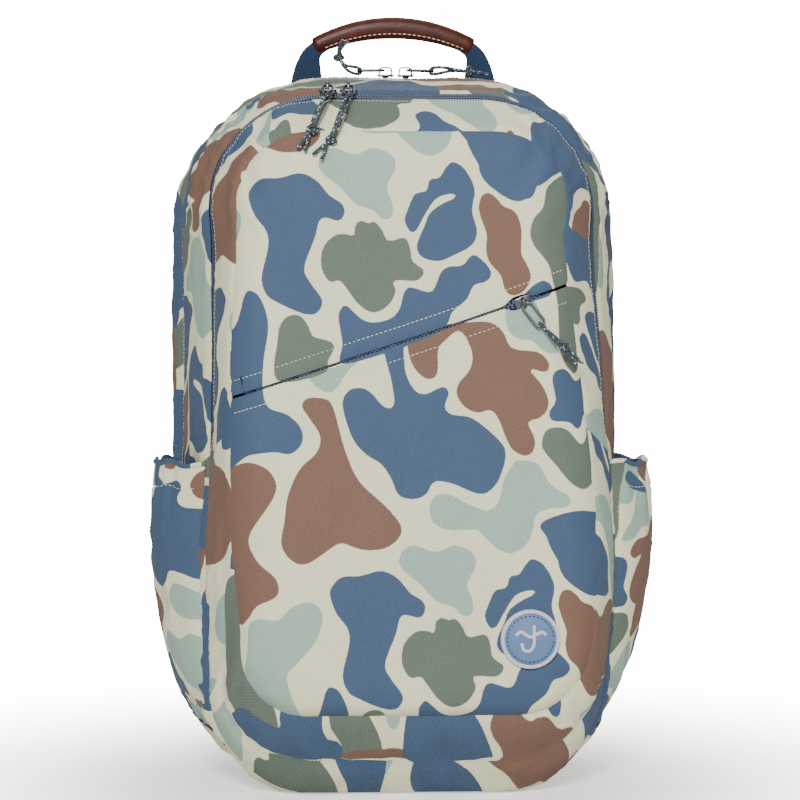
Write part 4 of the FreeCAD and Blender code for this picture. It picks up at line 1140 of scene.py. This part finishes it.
# Each pull: its slider's place, the slider's turn, whether its ring hangs across the zip, the ring's turn,
# the two bodies, the points midway between its cord's strands as far as the knot, and the two tails.
PULLS = {
    "front_left": (
        (-46, -42, 441), LIE, True, turned("X", 25), "front_slider_left", "front_pull_left",
        ((-46.8, -61.4, 435.9), (-50, -67.4, 430.8), (-53.2, -74.6, 424.6), (-56.6, -80.6, 415)),
        (((-58.6, -83.6, 409.5), (-60.5, -86.2, 401.5)), ((-60.4, -82.8, 409.8), (-64.8, -85.6, 403.2))),
    ),
    "front_right": (
        (-33, -42, 441), LIE, True, turned("X", 25), "front_slider_right", "front_pull_right",
        ((-33.8, -61.4, 435.9), (-36, -67.4, 430.6), (-38.6, -75, 424.4), (-41.4, -80.6, 416.6),
         (-44.6, -83.4, 408.8)),
        (((-48.2, -86.4, 403.8), (-50.6, -88.2, 396.8)), ((-49.6, -84.6, 405), (-55.4, -86.4, 400))),
    ),
    "main_left": (
        (-6.5, 36, 457), LIE, False, turned("Y", -1) @ turned("Z", -90), "main_slider_left", "main_pull_left",
        ((-27.9, 36.2, 461.6), (-33.4, 36.7, 463.6), (-37, 37.2, 470)),
        (((-37.6, 35.6, 475), (-34.6, 35, 481.5)), ((-35.6, 39, 475.5), (-31.4, 40, 480.5))),
    ),
    "main_right": (
        (6.5, 36, 457), LIE, False, turned("Y", 1) @ turned("Z", 90), "main_slider_right", "main_pull_right",
        ((27.9, 36.2, 461.6), (35, 36.9, 462.2), (41.5, 37.6, 461.8), (48.5, 38.4, 461)),
        (((53.5, 37.6, 460.6), (61, 36.6, 459.4)), ((53, 40.4, 461), (58.6, 42.6, 460.2))),
    ),
    "pocket": (
        tuple(np.array([0, -81.3, SLIT_Z]) + ALONG_SLIT * SLIDER_AT), LAY, True, SWING @ turned("X", 82),
        "pocket_slider", "pocket_pull",
        ((86.5, -88.4, 293.2), (90.9, -89.4, 288.4), (98, -90.6, 281.6)),
        (((101.4, -91.4, 276.5), (104.8, -92.2, 270.5)), ((103.4, -90.2, 277.6), (108.6, -90.0, 272.6))),
    ),
}


def strands(points, tip, normal):
    """The two strands of a folded cord: round the ring's far wire at tip, then side by side along points."""
    ahead = points[0] - tip
    ahead = ahead / np.linalg.norm(ahead)
    spreads = [2.2] + [1.25] * (len(points) - 1)
    made = []
    for sign in (-1, 1):
        line = [tip - ahead * 2.2 + normal * sign * 2.0]
        for k, (point, spread) in enumerate(zip(points, spreads)):
            onward = points[min(k + 1, len(points) - 1)] - points[max(k - 1, 0)]
            onward = onward / np.linalg.norm(onward)
            share = min(1, k / 2)
            way = normal * (1 - share) + np.cross(onward, normal) * share
            line.append(point + way / np.linalg.norm(way) * sign * spread)
        made.append(line)
    return made


def cord_curve(name, points, body):
    """A cord as a smooth round curve through points."""
    data = bpy.data.curves.new(name, "CURVE")
    data.dimensions = "3D"
    data.bevel_depth = CORD_RADIUS * UNIT
    data.bevel_resolution = 4
    data.use_fill_caps = True
    line = data.splines.new("NURBS")
    line.points.add(len(points) - 1)
    for point, spot in zip(line.points, points):
        point.co = (*(np.asarray(spot) * UNIT), 1)
    line.order_u, line.use_endpoint_u, line.resolution_u = 3, True, 8
    data.materials.append(MATERIALS["cord"])
    obj = bpy.data.objects.new(name, data)
    bpy.context.scene.collection.objects.link(obj)
    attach(obj, body)
    return obj


def knot_mesh(name, centre, axis, body):
    """An overhand knot: the cord wound tightly over itself."""
    axis = axis / np.linalg.norm(axis)
    side = np.cross(axis, (0.3, 1, 0.2))
    side = side / np.linalg.norm(side)
    other = np.cross(axis, side)
    t = np.linspace(0, 2 * math.pi, 72, endpoint=False)
    reach = 2.05 + 0.85 * np.cos(3 * t)
    path = (centre + side * (reach * np.cos(2 * t))[:, None] + other * (reach * np.sin(2 * t))[:, None]
            + axis * (1.5 * np.sin(3 * t))[:, None])
    tangent = np.roll(path, -1, 0) - np.roll(path, 1, 0)
    across = np.cross(tangent, path - centre)
    obj = sweep(name, path, across, 1.05, 1.05, "cord", body, power=2, sides=12, closed=True)
    return obj


for label, (place, turn, across, ring_turn, slider_body, pull_body, points, tails) in PULLS.items():
    node = {"front_left": "front_{}_left", "front_right": "front_{}_right", "main_left": "main_{}_left",
            "main_right": "main_{}_right", "pocket": "pocket_{}"}[label]
    made = slider(f"{label}_slider_detail", place, turn, across, slider_body)
    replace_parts(made, node.format("slider"))
    reach = ring_turn @ np.array([0, -1.0, 0])
    pivot = np.array(place) + turn @ np.array([0, 0, RISE]) + reach * SHIFT
    tip = pivot + reach * RING_LONG
    points = [np.array(p, float) for p in points]
    first, second = strands(points, tip, ring_turn @ np.array([0, 0, 1.0]))
    tails = [[np.array(p, float) for p in tail] for tail in tails]
    # One cord: out of the knot, up one strand, round the ring, down the other and through to a bare tail.
    route = first[::-1] + second + tails[0]
    cord = cord_curve(f"{label}_pull_cord", route, pull_body)
    tail = sweep(f"{label}_cord_tail", spline([points[-1], *tails[1]], 8, closed=False), (0.3, 1, 0.2),
                 CORD_RADIUS,
                 CORD_RADIUS, "cord", pull_body, power=2, sides=12, ends=0.8)
    knot = knot_mesh(f"{label}_cord_knot", points[-1], tails[0][0] - points[-2], pull_body)
    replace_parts(cord, node.format("cord"))
    paint(node.format("ring"), "metal")

# ---------------------------------------------------------------- badge

BADGE = np.array([77.7, -84.3, 102.5])


def turned_ring(name, profile, centre, material, body, sides=72):
    """A solid of revolution about the Y axis from (radius, height towards the viewer) pairs."""
    angle = np.linspace(0, 2 * math.pi, sides, endpoint=False)
    points = [centre + np.array([r * math.cos(a), -h, r * math.sin(a)]) for r, h in profile for a in angle]
    faces = grid_faces(len(profile), sides, True)
    for end, way in ((0, 1), (len(profile) - 1, -1)):
        if profile[end][0] > 0.05:
            faces.append([end * sides + k for k in range(sides)][::way])
    return new_mesh(name, np.array(points), faces, (material,), body)


disc = turned_ring("badge_disc", ((17.0, -1.2), (17.0, 1.0), (16.2, 1.3), (0.2, 1.45)), BADGE,
                   "disc_rubber", "pack")
rim = turned_ring("badge_rim", ((15.9, 0.8), (15.95, 1.9), (16.3, 2.35), (17.6, 2.35), (18.15, 1.9),
                                (18.3, 1.0),
                                (18.3, -1.2)), BADGE, "ring_rubber", "pack")
around = np.linspace(0, 2 * math.pi, 160)
circle = BADGE + np.stack([14.3 * np.cos(around), -1.5 + 0 * around, 14.3 * np.sin(around)], 1)
stitches("badge_stitches", circle, np.tile([0, -1.0, 0], (160, 1)), "pack", material="navy_thread", pitch=2.6,
         long=1.7, radius=0.32, rise=0.05)
# A plain hook-and-wave emblem.
HOOK = ((2.2, 8.4), (2.2, 2.0), (2.0, -3.6), (-0.6, -7.2), (-4.2, -6.4), (-5.4, -2.6))
WAVE = ((-9.0, 2.6), (-5.8, 4.6), (-2.6, 2.6), (0.6, 1.4), (4.0, 3.2), (7.2, 4.4), (9.4, 2.8))
emblem = []
for k, line in enumerate((HOOK, WAVE)):
    path = np.array([(x, 0, z) for x, z in line], float)
    path = spline(path, 8, closed=False) + BADGE + np.array([0, -1.5, 0])
    emblem.append(sweep(f"badge_emblem_{k}", path, (0, -1, 0), 0.55, 1.05, "ring_rubber", power=3, sides=10))
emblem = joined("badge_emblem", emblem)
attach(emblem, "pack")
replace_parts(disc, "badge")

# ---------------------------------------------------------------- stretch side pockets

POCKET_REAR, POCKET_FRONT, POCKET_LOW, POCKET_HIGH, HEM_TALL = 33.0, -37.0, 40.0, 208.0, 16.0
POCKET_HEIGHTS = (40, 55, 75, 105, 150, 190, 208)
POCKET_REACH = (1.0, 5.5, 12, 19, 24.5, 25, 23)


def pocket_points(sign, across, heights, out=0.0):
    """The bowed outer face of a side pocket, gathered into its hem."""
    y = POCKET_REAR + (POCKET_FRONT - POCKET_REAR) * across
    base = settle(np.stack([half_at(y, heights), y, heights], -1))
    other = settle(np.stack([-half_at(y, heights), y, heights], -1))
    x = base[..., 0] if sign > 0 else -other[..., 0]
    bow = np.sin(math.pi * np.clip(across, 0, 1)) ** 0.62
    reach = np.interp(heights, POCKET_HEIGHTS, POCKET_REACH)
    run = across * 96
    gather = np.exp(-abs(heights - (POCKET_HIGH - HEM_TALL)) / 16)
    folds = 1.9 * gather * np.sin(run * 0.45 + 1.7 * np.sin(run / 9.0 + sign)) * bow
    folds = folds + 2.2 * sharpen(ripple(run, heights * 0.8, 24, 3 + sign)) * bow * (1 - 0.6 * gather)
    folds = folds - 1.1 * np.exp(-((heights - (POCKET_HIGH - HEM_TALL)) / 1.1) ** 2) * bow
    x = x + 1.4 + reach * bow + folds * smooth(heights, 42, 64) + out
    z = base[..., 2] + 1.6 * np.sin(run * 0.21 + sign) * smooth(heights, 170, 208)
    return np.stack([sign * x, y + 0 * x, z], -1)


for side, sign in (("left", -1), ("right", 1)):
    across, heights = np.meshgrid(np.linspace(0, 1, 58), np.linspace(POCKET_LOW, POCKET_HIGH, 76))
    points = pocket_points(sign, across, heights)
    run = across * 96
    fields = camo(run - 40 + 30 * sign, heights + (120 if sign > 0 else 60))
    flat = np.stack([run, heights, 0 * run], -1)
    wall = cloth(f"side_pocket_cloth_{side}", points, 1.3, "gusset_camo", fields=fields, flat=flat,
                 centre=np.array([sign * 90.0, 0, 130]))
    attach(wall, "pack")
    # The pocket closes under its lowest edge.
    floor_y, floor_t = np.meshgrid(np.linspace(0, 1, 40), np.linspace(0, 1, 9))
    top = pocket_points(sign, floor_y, np.full_like(floor_y, POCKET_LOW + 1.5))
    inner = top.copy()
    inner[..., 0] = top[..., 0] - sign * floor_t * (abs(top[..., 0]) - abs(top[..., 0]).min() + 3)
    inner[..., 2] = POCKET_LOW + 1.5 - 2.0 * np.sin(math.pi * floor_t)
    under = cloth(f"pocket_floor_{side}", inner, 1.0, "gusset_camo", centre=np.array([sign * 130.0, 0, 90]),
                  fields=camo(inner[..., 0], inner[..., 1] + 300))
    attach(under, "pack")
    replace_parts(wall, f"side_pocket_{side}", f"pocket_hem_{side}")
    # Elastic rolled into the mouth, and the row of stitches that gathers it.
    lip_line = pocket_points(sign, np.linspace(0.0, 1, 90), np.full(90, POCKET_HIGH), out=-0.4)
    roll = sweep(f"pocket_elastic_{side}", lip_line, (0, 0, 1), 1.5, 1.3, "gusset_camo", "pack", power=2.2,
                 sides=12)
    print_on(roll, lip_line[0, 1], 60)
    line = pocket_points(sign, np.linspace(0.03, 0.97, 120), np.full(120, POCKET_HIGH - HEM_TALL + 1.0),
                         out=0.1)
    stitches(f"pocket_hem_stitches_{side}", line, np.tile([sign * 1.0, 0, 0.1], (120, 1)), "pack", pitch=2.9)

# ---------------------------------------------------------------- carry handle

GRIP_CENTRE, GRIP_BOW = np.array([0, 68.0, 375.5]), 116.0


def grip_arc(angles, bow=GRIP_BOW):
    a = np.radians(angles)
    return GRIP_CENTRE + np.stack([bow * np.sin(a), 0 * a, bow * np.cos(a)], -1)


left_leg = np.array([(-58, 68, 444), (-57.5, 68, 456), (-56.5, 68, 467), (-53.5, 68, 475.5)], float)
right_leg = left_leg[::-1] * np.array([-1, 1, 1])
band_path = spline(np.concatenate([left_leg, grip_arc(np.linspace(-23, 23, 9)), right_leg]), 8, closed=False)
middle_share = np.clip((band_path[:, 2] - 452) / 26, 0, 1)
# The band's width lies in the plane of the front face, square to its own path.
band_across = np.cross(np.gradient(band_path, axis=0), (0, 1, 0))
band = sweep("handle_band", band_path, band_across, 11.0 - 5.8 * middle_share ** 1.4,
             1.0 + 1.2 * middle_share ** 2,
             "webbing", "handle", power=3.6, sides=20)
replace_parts(band, "handle_webbing")
wrap_angles = np.linspace(-26, 26, 61)
wrap_path = grip_arc(wrap_angles)
wrap_path[:, 2] += 0.8
tall = 5.3 + 1.9 * np.cos(np.radians(wrap_angles / 26 * 80))
wrap = sweep("handle_wrap", wrap_path, np.cross(np.gradient(wrap_path, axis=0), (0, 1, 0)), tall, 4.4,
             "leather",
             "handle", power=2.3, sides=28, ends=0.5)
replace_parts(wrap, "handle_grip")
for side, depth in (("front", -1), ("rear", 1)):
    seam = grip_arc(np.linspace(-24.6, 24.6, 90), GRIP_BOW - 3.3)
    seam[:, 1] += depth * 4.0
    stitches(f"handle_stitches_{side}", seam, np.tile([0, depth * 1.0, -0.5], (90, 1)), "handle", pitch=3.3,
             long=2.4,
             radius=0.36)

# ---------------------------------------------------------------- padded pieces


def pillow(name, centre, half, body, front, back="lining", power=5.0, crown=1.0, dimple=None, step=4.0,
           lean=0.0, away=1):
    """A padded panel in the X-Z plane. Its face bulges towards away * Y; dimple lowers it at the quilting."""
    cols, rows = int(2 * half[0] / step) + 1, int(2 * half[2] / step) + 1
    u, v = np.meshgrid(np.linspace(-1, 1, cols), np.linspace(-1, 1, rows))
    # Square the grid onto a rounded rectangle.
    r = np.maximum(abs(u), abs(v))
    norm = (abs(u) ** power + abs(v) ** power) ** (1 / power)
    scale = np.where(norm > 1e-6, r / np.maximum(norm, 1e-6), 1)
    u2, v2 = u * scale, v * scale
    rise = (1 - r ** 6) ** 0.5
    sink = dimple(u2 * half[0], v2 * half[2]) if dimple else 0
    x = centre[0] + u2 * half[0] + lean * v2
    z = centre[2] + v2 * half[2]
    top = centre[1] + away * (half[1] * (2 * rise * crown - sink * rise) - half[1])
    low = centre[1] - away * half[1] + 0 * top
    count = rows * cols
    upper = np.stack([x, top, z], -1)
    lower = np.stack([x, low - away * 0.02, z], -1)
    flat = np.stack([x, z, 0 * x], -1).reshape(-1, 3)
    faces = grid_faces(rows, cols, False, 0, away > 0) + grid_faces(rows, cols, False, count, away < 0)
    slots = [0] * (len(faces) // 2) + [1] * (len(faces) // 2)
    line = (list(range(cols)) + [r * cols + cols - 1 for r in range(1, rows)]
            + [(rows - 1) * cols + k for k in range(cols - 2, -1, -1)]
             + [r * cols for r in range(rows - 2, 0, -1)])
    for a, b in zip(line, line[1:] + line[:1]):
        faces.append([a, b, b + count, a + count][::away])
        slots.append(0)
    points = np.concatenate([upper.reshape(-1, 3), lower.reshape(-1, 3)])
    obj = new_mesh(name, points, faces, (front, back), body, slots, {"cloth": np.tile(flat, (2, 1))})
    border = np.stack([x, (top + low) / 2, z], -1).reshape(-1, 3)[line]
    return obj, border


def bound(name, border, body, thick, wide=2.2):
    """A folded binding tape sewn round the edge of a panel."""
    across = np.broadcast_to(np.array([0, 1.0, 0]), border.shape)
    piece = sweep(name, border, across, thick, wide, "binding", body, power=3, sides=12, closed=True)
    return piece


def channels(x, z):
    """Quilting: two air channels across the pad, the same at every x."""
    return 1.1 * (np.exp(-((z - 48) / 5) ** 2) + np.exp(-((z + 48) / 5) ** 2))


for side, sign in (("left", -1), ("right", 1)):
    pad, border = pillow(f"back_pad_padding_{side}", (sign * 66, 79.6, 241), (42, 5.9, 145), "pack", "mesh",
                         dimple=channels)
    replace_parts(pad, f"back_pad_{side}")
    bound(f"back_pad_binding_{side}", border - np.array([0, 3.4, 0]), "pack", 1.6, 1.4)
lumbar, border = pillow("lumbar_pad_padding", (0, 79.6, 61), (82, 5.9, 27), "pack", "mesh", power=4.0)
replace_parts(lumbar, "lumbar_pad")
bound("lumbar_pad_binding", border - np.array([0, 3.4, 0]), "pack", 1.6, 1.4)
yoke, border = pillow("strap_yoke_cover", (0, 75.5, 426), (84, 1.6, 14), "pack", "black_webbing", power=8.0)
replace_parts(yoke, "strap_yoke")
for height in (-10.5, 10.5):
    line = np.stack([np.linspace(-79, 79, 120), np.full(120, 77.0), np.full(120, 426.0 + height)], 1)
    stitches(f"yoke_stitches_{'low' if height < 0 else 'high'}", line, np.tile([0, 1.0, 0], (120, 1)), "pack")

# ---------------------------------------------------------------- shoulder straps and their webbing

for side, sign in (("left", -1), ("right", 1)):
    body = f"shoulder_{side}"
    z = np.linspace(411, 126, 86)
    y = -452.5 + np.sqrt(564.0**2 - (z - 251.7) ** 2)
    x = sign * (-1484.7 + np.sqrt(1588.0**2 - (z - 12) ** 2))
    path = np.stack([x, y, z], 1)
    width = 29 - 6.5 * smooth(z, 190, 126) - 3.0 * smooth(z, 380, 411)
    thick = 5.9 - 2.4 * smooth(z, 160, 126) - 1.8 * smooth(z, 385, 411)
    strap = sweep(f"shoulder_strap_padding_{side}", path, (1, 0, 0), width, thick, "gusset_camo", body,
                  power=3.4,
                  sides=36, ends=0.6)
    print_on(strap, -sign * 60, -sign * 30)
    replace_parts(strap, f"shoulder_strap_{side}")
    for edge in (-1, 1):
        line = path + np.stack([edge * (width + 0.2), 0 * y, 0 * z], 1)
        tape = sweep(f"strap_binding_{side}_{'in' if edge * sign < 0 else 'out'}", line, (0, 1, 0), 1.9,
                     1.2, "binding",
                     body, power=2.6, sides=10)
    # Daisy-chained webbing down the middle of the strap, sewn across at intervals.
    inner = z < 380
    outward = path[inner] + np.array([0, 6.4, 0])
    chain = sweep(f"strap_webbing_{side}", outward[outward[:, 2] > 140], (1, 0, 0), 10, 0.8,
                  "black_webbing", body,
                  power=5, sides=16)
    for k, level_z in enumerate(range(165, 375, 42)):
        on_path = [np.interp(level_z, z[::-1], path[::-1, i]) for i in range(3)]
        spot = np.array(on_path) + np.array([0, 7.4, 0])
        bar = np.stack([spot[0] + np.linspace(-8.5, 8.5, 30), np.full(30, spot[1]), np.full(30, spot[2])], 1)
        stitches(f"strap_bartack_{side}_{k}", bar, np.tile([0, 1.0, 0], (30, 1)), body,
                 material="navy_thread",
                 pitch=1.1, long=0.9, radius=0.5)
    paint(f"ladder_lock_{side}", "hardware")
    lock_x = sign * 101.0
    lower = spline([(lock_x, 79.8, 36), (lock_x, 83.4, 58), (lock_x, 88.4, 80), (lock_x, 92.2, 91.5)], 8,
                   closed=False)
    web = sweep(f"adjuster_band_{side}", lower, (1, 0, 0), 12.5, 0.8, "black_webbing", "pack", power=6,
                sides=16)
    tail = spline([(lock_x, 102, 96), (lock_x, 104, 82), (lock_x, 105, 60), (lock_x + sign, 103.6, 40),
                   (lock_x + sign, 103.2, 24)], 8, closed=False)
    loose = sweep(f"adjuster_tail_{side}", tail, (1, 0, 0), 12.5, 0.8, "black_webbing", "pack", power=6,
                  sides=16)
    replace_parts(web, f"adjuster_webbing_{side}")
    u, v = np.meshgrid(np.linspace(0, 1, 20), np.linspace(0, 1, 14))
    wing_x = sign * (88 + 32 * u)
    wing_z = (20 + 10 * u) * (1 - v) + (44 + 16 * u) * v
    wing = cloth(f"strap_wing_cloth_{side}", np.stack([wing_x, 76.4 + 0.4 * ripple(u * 40, v * 26, 12, 2),
                                                       wing_z], -1),
                 2.2, "gusset_camo", "gusset_camo", fields=camo(wing_x, wing_z + 210),
                 centre=np.array([0, 0, 40.0]))
    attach(wing, "pack")
    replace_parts(wing, f"strap_wing_{side}")

# ---------------------------------------------------------------- back panel and the inside

BACK_Y = 71.6
xi, zz = np.meshgrid(np.linspace(-1, 1, 76), np.linspace(0, 1, 110))


back_z = 0.6 + 449.2 * (1 - np.cos(math.pi * zz)) / 2
back_x = xi * half_width("back", back_z)
settled = settle(np.stack([back_x, BACK_Y + 0 * back_x, back_z], -1))
back_x, back_z = settled[..., 0], settled[..., 2]
back_y = BACK_Y + 1.9 - 0.5 * abs(ripple(back_x, back_z, 40, 6.0))
panel = cloth("back_panel_cloth", np.stack([back_x, back_y, back_z], -1), 1.5, "binding", "lining")
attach(panel, "pack")
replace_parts(panel, "back_panel")
u = spaced(0, 8, 3.0, "back")[0][:-1]
piping_line = shell(u, 71.9 + 0 * u, inset=0.4 + 0 * u)
piping = sweep("back_piping", piping_line, (0, 1, 0), 1.7, 1.7, "binding", "pack", power=2, sides=10,
               closed=True)


def panel_between(name, section, y, low, high, body, sag, material="lining"):
    """A flat cloth partition inside the shell, cut to the shell's outline between two heights."""
    zz = np.linspace(low, high, max(8, int((high - low) / 4)))[:, None] + 0 * np.linspace(-1, 1, 60)[None, :]
    xx = np.linspace(-1, 1, 60)[None, :] * (half_width(section, zz) - 5)
    yy = y + sag * ripple(xx, zz, 55, 3.0)
    return finish_on(cloth(name, np.stack([xx, yy, zz], -1), 1.2, material, material,
                           centre=np.array([0, 200.0, 230])),
                     body)


lower_divider = panel_between("divider_cloth_lower", "fore", -34.6, 30, 212, "main_fold", 0.5)
upper_divider = panel_between("divider_cloth_upper", "fore", -34.6, 212, 434, "front_section", 0.5)
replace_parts(lower_divider, "divider_lower", "divider_fold")
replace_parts(upper_divider, "divider_upper")
rim_u, _ = spaced(u_at("fore", 215), 9 - u_at("fore", 215), 5, "fore")
rim_line = shell(rim_u, -34.9 + 0 * rim_u, inset=6 + 0 * rim_u)
rim_tape = sweep("divider_binding", rim_line, (0, 1, 0), 2.2, 1.1, "binding", "front_section", power=3,
                 sides=10)

sleeve, border = pillow("laptop_sleeve_padding", (0, 51.4, 165), (112, 2.5, 139), "pack", "lining", power=7,
                        away=-1,
                        dimple=lambda x, z: 0.35 * (np.cos(x * 0.157) * np.cos(z * 0.157)) ** 2)
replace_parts(sleeve, "laptop_sleeve")
bound("laptop_sleeve_binding", border, "pack", 3.0, 1.6)
sheet_points = np.stack([xi * (half_width("back", 12 + 426 * zz) - 14),
                         69.2 + 0.3 * ripple(xi * 130, zz * 430, 60, 1),
                         12 + 426 * zz], -1)
liner = cloth("back_liner", sheet_points, 1.0, "lining", "lining", centre=np.array([0, 200.0, 230]))
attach(liner, "pack")

pleats, spans = np.meshgrid(np.linspace(-92, 92, 140), np.linspace(48, 138, 34))
depth_out = 12.5 * (np.sin(math.pi * np.mod((pleats + 92) / 92, 1)) ** 0.4)
organiser_y = -36.9 - depth_out * (0.75 + 0.25 * (spans - 48) / 90)
organiser_y = organiser_y - 0.5 * np.sin(pleats * 0.4) * (spans > 120)
organiser = cloth("organiser_cloth", np.stack([pleats, organiser_y, spans], -1), 1.1, "lining", "lining",
                  centre=np.array([0, 0, 90.0]))
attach(organiser, "pack")
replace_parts(organiser, "organiser_pocket")
top_line = np.stack([pleats[-1], organiser_y[-1] + 0.5, spans[-1]], -1)
sweep("organiser_binding", top_line, (0, 0, 1), 3.2, 1.0, "binding", "pack", power=3, sides=10)
low_rows, low_cols = np.meshgrid(np.linspace(0, 1, 8), np.linspace(-92, 92, 100), indexing="ij")
floor_depth = 12.5 * (np.sin(math.pi * np.mod((low_cols + 92) / 92, 1)) ** 0.4) * 0.75
organiser_floor = cloth("organiser_floor", np.stack([low_cols, -36.9 - floor_depth * low_rows,
                                                     48.6 + 0 * low_cols], -1),
                        0.8, "lining", "lining", centre=np.array([0, -36, 90.0]))
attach(organiser_floor, "pack")

bag_x, bag_z = np.meshgrid(np.linspace(-86, 86, 60), np.linspace(240, 352, 40))
bag = cloth("pocket_bag_cloth", np.stack([bag_x, -75.6 + 0.25 * ripple(bag_x, bag_z, 30, 4), bag_z], -1),
            0.8, "lining",
            "lining", centre=np.array([0, 200.0, 290]))
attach(bag, "front_flap")
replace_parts(bag, "pocket_bag")
for node in ("base_board", "back_frame_sheet"):
    paint(node, "board")

# ---------------------------------------------------------------- studio floor

floor_mesh = bpy.data.meshes.new("studio_floor")
floor_mesh.from_pydata([(-6, -6, -0.0005), (6, -6, -0.0005), (6, 6, -0.0005), (-6, 6, -0.0005)], [],
                       [(0, 1, 2, 3)])
paper = Shader("studio_paper", roughness=0.9)
# White paper that glows to the camera, more with distance from the pack, so that it runs into the backdrop.
reach = paper.node("ShaderNodeVectorMath", 1, operation="LENGTH")
paper.tree.links.new(paper.node("ShaderNodeTexCoord", 3), reach.node.inputs[0])
far_off = paper.node("ShaderNodeMapRange", interpolation_type="SMOOTHSTEP")
paper.feed(far_off.node.inputs["Value"], reach)
for socket, value in (("From Min", 0.12), ("From Max", 0.8), ("To Min", 0.7), ("To Max", 24.0)):
    paper.feed(far_off.node.inputs[socket], value)
glow = paper.maths("MULTIPLY", paper.node("ShaderNodeLightPath"), far_off)
paper.feed(paper.shader.inputs["Emission Color"], (1, 1, 1, 1))
paper.feed(paper.shader.inputs["Emission Strength"], glow)
floor_mesh.materials.append(paper.finish(paper.scaled("F4F3F1", 0.98, 1.01, paper.noise(2.0, 2.0))))
floor = bpy.data.objects.new("studio_floor", floor_mesh)
bpy.context.scene.collection.objects.link(floor)
